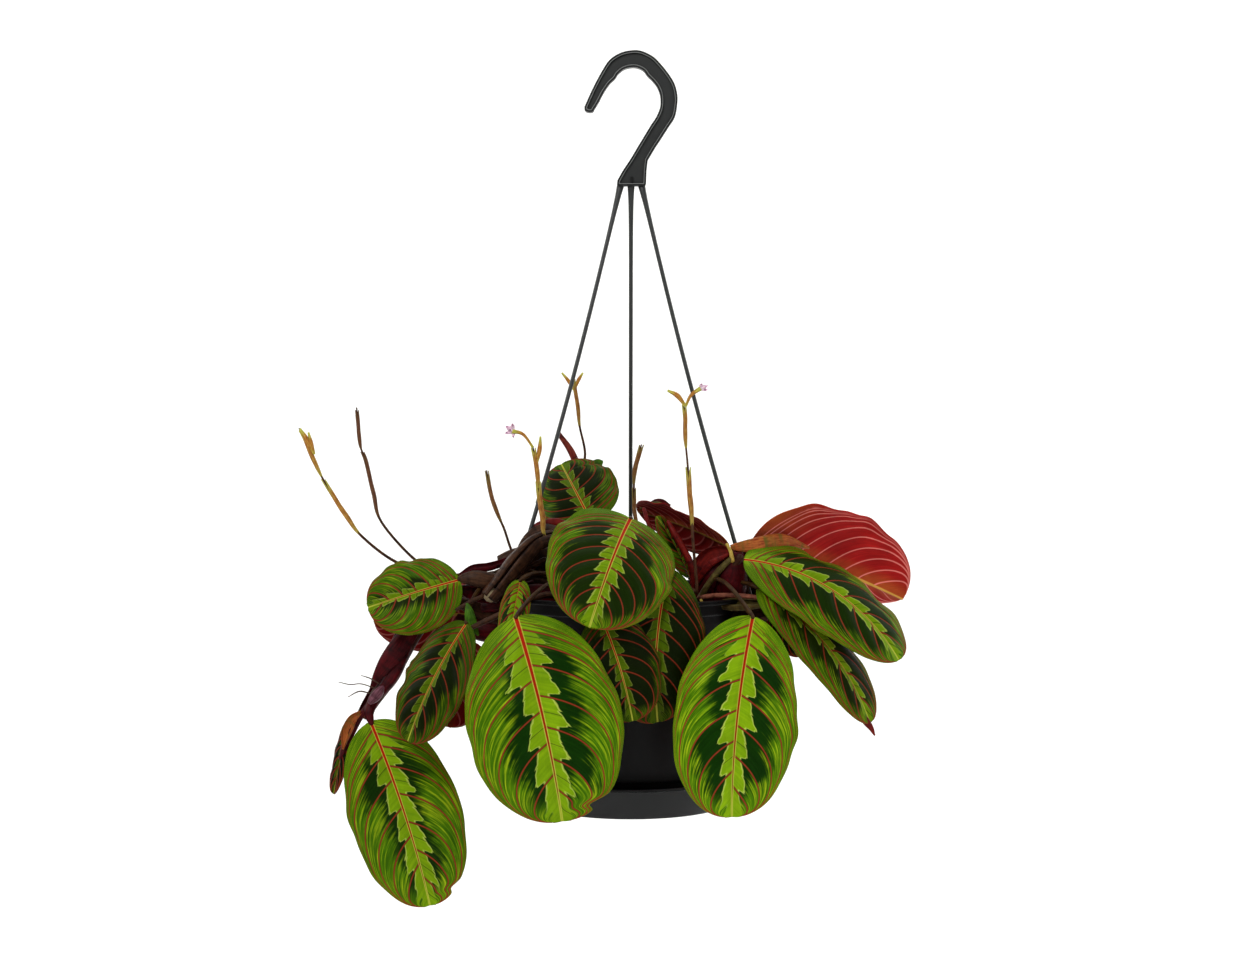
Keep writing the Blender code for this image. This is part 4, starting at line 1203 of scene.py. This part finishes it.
def moulded_material(name, colour, roughness, grain_mm, specular):
    """Injection-moulded polypropylene: a fine spark-eroded grain, slightly cloudy, duller where handled."""
    material, tree, shader = new_material(name, roughness, 1.49, specular)
    coordinates = node(tree, "TexCoord")
    fine = node(
        tree, "TexNoise", {"Vector": coordinates.outputs["Object"], "Scale": 1000 / grain_mm, "Detail": 2.0}
    )
    cloud = node(tree, "TexNoise", {"Vector": coordinates.outputs["Object"], "Scale": 22.0, "Detail": 4.0})
    tint = node(tree, "Mix", {0: cloud, 6: linear(colour[0]), 7: linear(colour[1])}, data_type="RGBA")
    dull = node(tree, "MapRange", {0: cloud, 1: 0.3, 2: 0.7, 3: roughness - 0.07, 4: roughness + 0.09})
    tree.links.new(dull.outputs[0], shader.inputs["Roughness"])
    dress(tree, shader, tint.outputs[2], fine, 0.25, 0.25)
    return material


def rounded_profile(corners):
    """(radius, z) points of a profile whose corners (radius, z, fillet) are rounded, with a support point
    on each side of a fillet so that flat walls shade flat."""
    points = []
    for number, (r, z, fillet) in enumerate(corners):
        here = Vector((r, z))
        if not fillet:
            points.append(here)
            continue
        before = (Vector(corners[number - 1][:2]) - here).normalized()
        after = (Vector(corners[(number + 1) % len(corners)][:2]) - here).normalized()
        points.append(here + before * fillet * 1.8)
        for step in range(6):
            u = step / 5
            points.append(
                (
                    here + before * fillet
                ) * (1 - u) ** 2 + here * 2 * u * (1 - u) + (here + after * fillet) * u**2
            )
        points.append(here + after * fillet * 1.8)
    return points


def turned(name, corners, material, nodes):
    """A moulding turned round the pot's axis, from a profile that starts and ends on the axis."""
    bm = bmesh.new()
    profile = rounded_profile(corners)
    points = [bm.verts.new((point.x * MM, 0, point.y * MM)) for point in profile]
    edges = [bm.edges.new(pair) for pair in zip(points, points[1:])]
    bmesh.ops.spin(
        bm, geom=points + edges, cent=(0, 0, 0), axis=(0, 0, 1), angle=math.tau, steps=128, use_merge=True
    )
    bmesh.ops.remove_doubles(bm, verts=bm.verts, dist=1e-6)
    bmesh.ops.recalc_face_normals(bm, faces=bm.faces)
    finish_piece(name, bm, [material], nodes)


def add_pot(material):
    """A tapered pot with a step below its out-turned rim and a recessed foot."""
    turned(
        "flower_pot",
        [
            (0, FOOT_Z + 1.2, 0),
            (46, FOOT_Z + 1.2, 0.6),
            (47, FOOT_Z, 0.5),
            (51.2, FOOT_Z, 1.2),
            (53.2, FOOT_Z + 10, 0.4),
            (53.8, FOOT_Z + 10.5, 0.4),
            (70.2, RIM_Z - 8.5, 0.5),
            (71.4, RIM_Z - 8, 0.5),
            (72.2, RIM_Z - 2.2, 0.8),
            (76.9, RIM_Z - 2.2, 0.5),
            (77.5, RIM_Z - 1.1, 0.4),
            (76.8, RIM_Z, 0.5),
            (71.2, RIM_Z, 1.0),
            (70.0, RIM_Z - 4, 0.6),
            (50.6, FOOT_Z + 2.6, 1.2),
            (0, FOOT_Z + 2.6, 0),
        ],
        material,
        ["pot"],
    )


def add_saucer(material):
    """A shallow dish with a rolled lip, and the ring on its floor that clips into the pot's foot."""
    floor = SAUCER_Z + 1.5
    turned(
        "clip_on_saucer",
        [
            (0, SAUCER_Z + 0.6, 0),
            (50, SAUCER_Z + 0.6, 0.4),
            (51, SAUCER_Z, 0.4),
            (54.4, SAUCER_Z, 1.2),
            (60.4, SAUCER_Z + 15.4, 0.6),
            (61.3, SAUCER_Z + 15.8, 0.4),
            (61.4, SAUCER_Z + 17, 0.5),
            (59.6, SAUCER_Z + 17, 0.5),
            (54.2, floor, 1.4),
            (33, floor, 0.4),
            (33, FOOT_Z - 0.4, 0.3),
            (31.5, FOOT_Z - 0.4, 0.3),
            (31.5, floor, 0.4),
            (0, floor, 0),
        ],
        material,
        ["saucer"],
    )


def compost_material():
    """Peat-free compost: crumbly, nearly black when damp, with brown fibre and pale grit."""
    material, tree, shader = new_material("damp_compost", 0.9, 1.4)
    coordinates = node(tree, "TexCoord")
    crumb = node(
        tree, "TexNoise",
        {"Vector": coordinates.outputs["Object"], "Scale": 420.0, "Detail": 5.0, "Roughness": 0.7}
    )
    patch = node(tree, "TexVoronoi", {"Vector": coordinates.outputs["Object"], "Scale": 330.0})
    colour = node(
        tree, "ValToRGB", {0: crumb},
        ramp=[(0.25, "#0D0907"), (0.5, "#2B1D13"), (0.68, "#4A3524"), (0.8, "#7A6248")]
    )
    height = node(tree, "Math", {0: crumb, 1: patch.outputs["Distance"]}, operation="SUBTRACT")
    dress(tree, shader, colour.outputs[0], height, 0.9, 1.5)
    return material


COMPOST_DEPTH = 93.0
COMPOST_RADIUS = 69.0
CRUMBS = 2600


def add_compost(material, grit):
    """A lumpy surface down to the pot's floor, strewn with crumbs and a little grit."""
    chance = random.Random(5)
    bm = bmesh.new()
    made = bmesh.ops.create_cone(
        bm, cap_ends=True, segments=64, radius1=50 * MM, radius2=66.6 * MM, depth=COMPOST_DEPTH * MM
    )
    bmesh.ops.translate(bm, verts=made["verts"], vec=(0, 0, (COMPOST_TOP - 1.2 - COMPOST_DEPTH / 2) * MM))
    for vert in made["verts"]:
        across = math.hypot(vert.co.x, vert.co.y)
        if vert.co.z > (COMPOST_TOP - 10) * MM:
            vert.co.x *= COMPOST_RADIUS * MM / across
            vert.co.y *= COMPOST_RADIUS * MM / across
    for _ in range(CRUMBS):
        angle = chance.uniform(0, math.tau)
        radius = (COMPOST_RADIUS - 1) * math.sqrt(chance.random())
        size = chance.choice((0.7, 0.9, 1.2, 1.6, 2.2))
        ball = bmesh.ops.create_icosphere(bm, subdivisions=1, radius=size * MM)
        stretch = Vector((chance.uniform(0.6, 1.5), chance.uniform(0.5, 1.3), chance.uniform(0.4, 0.8)))
        spin = chance.uniform(0, math.tau)
        for vert in ball["verts"]:
            x, y, z = (vert.co[axis] * stretch[axis] * chance.uniform(0.75, 1.2) for axis in range(3))
            vert.co = (
                radius * MM * math.cos(angle) + x * math.cos(spin) - y * math.sin(spin),
                radius * MM * math.sin(angle) + x * math.sin(spin) + y * math.cos(spin),
                (COMPOST_TOP - 1.3 + size * 0.35) * MM + z,
            )
        if chance.random() < 0.03:
            for face in {face for vert in ball["verts"] for face in vert.link_faces}:
                face.material_index = 1
    bmesh.ops.recalc_face_normals(bm, faces=bm.faces)
    finish_piece("compost_fill", bm, [material, grit], ["compost"], smooth=False)


# The hook's outline from its tip: outer edge to the base, and inner edge back, x and z
HOOK_OUTER = [
    (-25.2, -21.2), (-20.6, -11.2), (-15.8, -2.2), (-11.4, 4.2), (-5.6, 7.9), (0.5, 9.3), (5.8, 9.0),
    (11.8, 6.2), (15.8, 2.5), (20.4, -3.1), (23.8, -8.6), (25.4, -14.5), (25.4, -20.0), (24.1, -26.6),
    (20.4, -32.5), (17.0, -37.8), (13.1, -43.8), (9.3, -50.2),
]
HOOK_INNER = [
    (-19.9, -22.6), (-17.5, -18.8), (-14.9, -13.8), (-11.5, -8.8), (-8.4, -5.8), (-6.9, -3.4),
    (-3.5, -0.8), (0.5, 0.2), (3.8, -0.1), (7.1, -1.8), (9.1, -4.5), (11.8, -7.1), (14.4, -10.5),
    (16.1, -15.1), (16.1, -21.1), (14.1, -26.5), (11.1, -31.1), (7.8, -36.5), (3.8, -43.1),
    (-0.2, -49.8), (-4.2, -55.8), (-7.2, -61.1),
]
HOOK_THICKNESS = 6.0
HOOK_FLANK = 1.05  # from the outline to the border's crest
HOOK_CREST = 0.35
HOOK_WALL = 0.3
HOOK_SINK = 1.6


def add_hook(materials):
    """A flat plate in the hook's outline whose faces are sunk inside a raised border, with a short gate rib
    standing on the base of each sunk face."""
    outer = [tuple(point) for point in smooth_line(HOOK_OUTER, 90)]
    inner = [tuple(point) for point in smooth_line(HOOK_INNER, 110)]
    base = [(8.7, -55.8), (8.4, -63.2), (7.7, -64.2), (-6.7, -64.2), (-7.5, -63.4)]
    tip = [(-20.0, -23.3), (-21.0, -24.1), (-22.6, -24.2), (-24.2, -23.8), (-25.2, -22.8)]
    outline = outer + base + inner[::-1] + tip
    bm = bmesh.new()
    face = bm.faces.new([bm.verts.new((x * MM, -HOOK_THICKNESS / 2 * MM, z * MM)) for x, z in outline])
    made = bmesh.ops.extrude_face_region(bm, geom=[face])
    back = next(item for item in made["geom"] if isinstance(item, bmesh.types.BMFace))
    bmesh.ops.translate(bm, verts=back.verts, vec=(0, HOOK_THICKNESS * MM, 0))
    bmesh.ops.recalc_face_normals(bm, faces=bm.faces)
    for side in (face, back):
        side.normal_update()
        sink = side.normal * -HOOK_SINK * MM
        # the flank keeps the first material, the wall takes the third and the crest the fourth: painted shade
        # on flank and wall, a painted highlight on the crest
        for width, slot in ((HOOK_FLANK, 0), (HOOK_CREST, 3), (HOOK_WALL, 2)):
            ring = bmesh.ops.inset_region(bm, faces=[side], thickness=width * MM, use_even_offset=True)
            for strip in ring["faces"]:
                strip.material_index = slot
        bmesh.ops.translate(bm, verts=side.verts, vec=sink)
        side.material_index = 1
        rib = bmesh.ops.create_cube(bm, size=1)["verts"]
        # the gate rib takes the recess wall's near-black: painted shade
        for facet in {facet for corner in rib for facet in corner.link_faces}:
            facet.material_index = 2
        bmesh.ops.scale(bm, verts=rib, vec=(1.5 * MM, 1.2 * MM, 4.2 * MM))
        rib_place = Vector(
            (0.6 * MM, math.copysign((HOOK_THICKNESS / 2 - 1.1) * MM, side.normal.y), -61.2 * MM)
        )
        bmesh.ops.translate(bm, verts=rib, vec=rib_place)
    hook = finish_piece("hanging_hook", bm, materials, ["hook"], smooth=False)
    soften = hook.modifiers.new("moulded edges", "BEVEL")
    soften.width = 0.35 * MM
    soften.segments = 2
    soften.limit_method = "ANGLE"
    soften.angle_limit = math.radians(40)


Strand = namedtuple("Strand", "name azimuth start_x")
STRANDS = [Strand("strand_left", 210, -5.6), Strand("strand_right", 330, 6.0), Strand("strand_back", 90, 0.2)]
STRAND_CIRCLE = 74.3
HOOK_FOOT_Z = -64.0
# z and radius of the button under the rim
STRAND_BUTTON = [(-287.4, 1.15), (-289.0, 1.15), (-289.05, 2.5), (-290.0, 2.5), (-290.8, 1.6)]


def add_strand(strand, material):
    """A moulded strand: flared where it leaves the hook, round below, buttoned under the pot's rim."""
    azimuth = math.radians(strand.azimuth)
    end = STRAND_CIRCLE * np.array((math.cos(azimuth), math.sin(azimuth)))
    start = np.array((strand.start_x, 0.0))
    outward = (end - start) / np.linalg.norm(end - start)
    down = np.linspace(0, 1, 61)
    flat = start + (end - start) * down[:, None] - outward * (2.5 * np.sin(math.pi * down))[:, None]
    z = HOOK_FOOT_Z + (RIM_Z - HOOK_FOOT_Z) * down
    line = np.column_stack([flat, z])
    radii = 1.15 + 0.85 * np.exp(-down * 22)
    line = np.vstack([line, [(*end, z) for z, _ in STRAND_BUTTON]])
    radii = np.concatenate([radii, [r for _, r in STRAND_BUTTON]])
    add_tube(
        strand.name.replace("strand", "hanger_strand"), line, radii, material, [strand.name],
    )


# ---------------------------------------------------------------- the object

upper = leaf_upper_material()
under = leaf_under_material()
petiole_skin = stalk_material("leaf_stalk_skin", "#22180A", "#4C3216", "#200C06")
stem_skin = stalk_material("shoot_skin", "#260C0A", "#4E2E1A", "#1A0608")
flower_stem_skin = stalk_material("flower_stalk_skin", "#2E1712", "#5A3A22", "#1E0C0C")
bract_skin = bract_material()
petal_skin = petal_material()
sheath_skins = {
    "maroon": stalk_material("maroon_sheath", "#240206", "#52080F", "#120204"),
    "umber": stalk_material("umber_sheath", "#1E100A", "#4E3220", "#120806"),
    "olive": stalk_material("olive_sheath", "#2E2A10", "#66582A", "#2A140A"),
    "orange": stalk_material("orange_sheath", "#6A1C0C", "#B4662E", "#4E5216"),
    "cut": stalk_material("cut_stem_end", "#6A5A40", "#AC9C7C", "#4A3A24"),
    "leaf_green": stalk_material("folded_leaf_edge", "#163404", "#4C7A12", "#0E2404"),
    "red": stalk_material("red_sheath", "#48080A", "#7C1C14", "#2C0406"),
    "purple": stalk_material("purple_bud", "#3A1822", "#7E505C", "#240C14"),
    "brown_pink": stalk_material("brown_pink_stem", "#5A2C20", "#9A5E48", "#3A1A12"),
    "dry": stalk_material("dry_thread", "#2A1A14", "#5A4434", "#1A0E0A"),
    "dry_yellow": stalk_material("dry_yellow_sheath", "#9A7A2A", "#C8B05A", "#7A5A1E"),
}
rolled_skin = stalk_material("rolled_leaf_skin", "#4E1414", "#7E3020", "#300A0C")
for index, leaf in enumerate(LEAVES):
    add_leaf(index, leaf, upper, under)
    if leaf.name in PETIOLES:
        add_petiole(leaf, petiole_skin)
add_shoots(stem_skin)
add_flower_stalks(flower_stem_skin, bract_skin, rolled_skin, petal_skin)
add_loose_sheaths(sheath_skins)
# perlite is as fine-grained and cloudy as the plastics, and much paler
add_compost(compost_material(), moulded_material("perlite_grit", ("#A8A292", "#D2CCBC"), 0.8, 0.5, 0.3))
# the pot is far darker than the saucer's plastic: its own black, deepened as painted shade under the leaves
add_pot(moulded_material("pot_polypropylene", ("#030303", "#09090A"), 0.48, 0.5, 0.12))
add_saucer(moulded_material("saucer_polypropylene", ("#161717", "#222324"), 0.44, 0.5, 0.2))
hanger = moulded_material("hanger_polypropylene", ("#1C1D1D", "#2A2C2B"), 0.38, 0.5, 0.4)
recess = moulded_material("hook_recess_floor", ("#161717", "#282A29"), 0.5, 0.5, 0.3)
# near-black walls of the sunk faces and gate ribs: painted shade in the recess
recess_wall_painted_shade = moulded_material("hook_recess_wall", ("#060606", "#0C0C0C"), 0.5, 0.5, 0.2)
# pale grey crest of the raised border: a painted highlight along its edge
crest_painted_highlight = moulded_material("hook_border_crest", ("#5C5E5D", "#828482"), 0.34, 0.5, 0.4)
# outer flank and sides of the hook, darker than the hanger's plastic: painted shade
hook_flank = moulded_material("hook_flank", ("#0A0B0B", "#141515"), 0.4, 0.5, 0.25)
add_hook([hook_flank, recess, recess_wall_painted_shade, crest_painted_highlight])
for strand in STRANDS:
    add_strand(strand, hanger)

# ---------------------------------------------------------------- studio

FLOOR_Z = -0.56
SWEEP_SIDE = 9.0
WALL_Y = 1.8
WALL_CURVE = 0.9
WALL_TOP = 6.0
CAMERA_DISTANCE = 1.3
CAMERA_PITCH = math.radians(2.5)
CAMERA_TARGET = Vector((-0.002, 0, -0.225))


def add_studio():
    """A pale floor that sweeps up behind the plant, soft boxes on the plant and on the sweep, and an even
    pale surround that is dimmer as a light than it looks."""
    turn = WALL_Y - WALL_CURVE
    profile = [(-SWEEP_SIDE, 0.0), (turn, 0.0)]
    for angle in np.radians(range(6, 91, 6)):
        profile.append((turn + WALL_CURVE * math.sin(angle), WALL_CURVE * (1 - math.cos(angle))))
    profile.append((WALL_Y, WALL_TOP))
    bm = bmesh.new()
    points = [bm.verts.new((-SWEEP_SIDE, y, FLOOR_Z + z)) for y, z in profile]
    edges = [bm.edges.new(pair) for pair in zip(points, points[1:])]
    made = bmesh.ops.extrude_edge_only(bm, edges=edges)
    moved = [item for item in made["geom"] if isinstance(item, bmesh.types.BMVert)]
    bmesh.ops.translate(bm, verts=moved, vec=(2 * SWEEP_SIDE, 0, 0))
    bmesh.ops.recalc_face_normals(bm, faces=bm.faces)
    mesh = bpy.data.meshes.new("studio_sweep")
    bm.to_mesh(mesh)
    bm.free()
    for polygon in mesh.polygons:
        polygon.use_smooth = True
    material, _, shader = new_material("matt_white_sweep", 0.9)
    shader.inputs["Base Color"].default_value = linear("#F8F8F6")
    mesh.materials.append(material)
    sweep = bpy.data.objects.new("studio_sweep", mesh)
    bpy.context.scene.collection.objects.link(sweep)
    world = bpy.data.worlds.new("pale_surround")
    world.use_nodes = True
    world.node_tree.nodes["Background"].inputs["Color"].default_value = linear("#FFFFFF")
    background = world.node_tree.nodes["Background"]
    seen = node(world.node_tree, "LightPath").outputs["Is Camera Ray"]
    strength = node(world.node_tree, "MapRange", {0: seen, 3: 0.32, 4: 0.95})
    world.node_tree.links.new(strength.outputs[0], background.inputs["Strength"])
    bpy.context.scene.world = world
    for name, place, size, power in (
        ("key_soft_box", (-0.55, -1.3, 0.8), 0.7, 16),
        ("fill_soft_box", (1.1, -1.2, 0.2), 0.9, 4),
        ("top_soft_box", (0.1, 0.3, 0.95), 0.8, 5),
        ("sweep_light_left", (-1.3, 0.35, 0.3), 0.7, 10),
        ("sweep_light_right", (1.3, 0.35, 0.3), 0.7, 10),
        ("sweep_light_far_left", (-2.4, 0.0, 1.7), 1.2, 45),
        ("sweep_light_far_right", (2.4, 0.0, 1.7), 1.2, 45),
    ):
        light = bpy.data.lights.new(name, "AREA")
        light.size = size
        light.energy = power
        lamp = bpy.data.objects.new(name, light)
        lamp.location = place
        aim = Vector((0, WALL_Y, -0.2)) if "sweep" in name else Vector((0, 0, -0.28))
        if "far" in name:
            aim = Vector((math.copysign(3.4, place[0]), WALL_Y, 0.3))
        lamp.rotation_euler = (aim - Vector(place)).to_track_quat("-Z", "Y").to_euler()
        bpy.context.scene.collection.objects.link(lamp)


def add_camera():
    """Level with the plant and 2.5 degrees down on it, 1.3 m away."""
    camera = bpy.data.cameras.new("camera")
    camera.lens = 67.86
    camera.sensor_width = 36.0
    obj = bpy.data.objects.new("camera", camera)
    back = Vector((0, -math.cos(CAMERA_PITCH), math.sin(CAMERA_PITCH)))
    obj.location = CAMERA_TARGET + back * CAMERA_DISTANCE
    obj.rotation_euler = (math.pi / 2 - CAMERA_PITCH, 0, 0)
    bpy.context.scene.collection.objects.link(obj)
    bpy.context.scene.camera = obj


add_studio()
add_camera()
bpy.context.scene.view_settings.view_transform = "Standard"
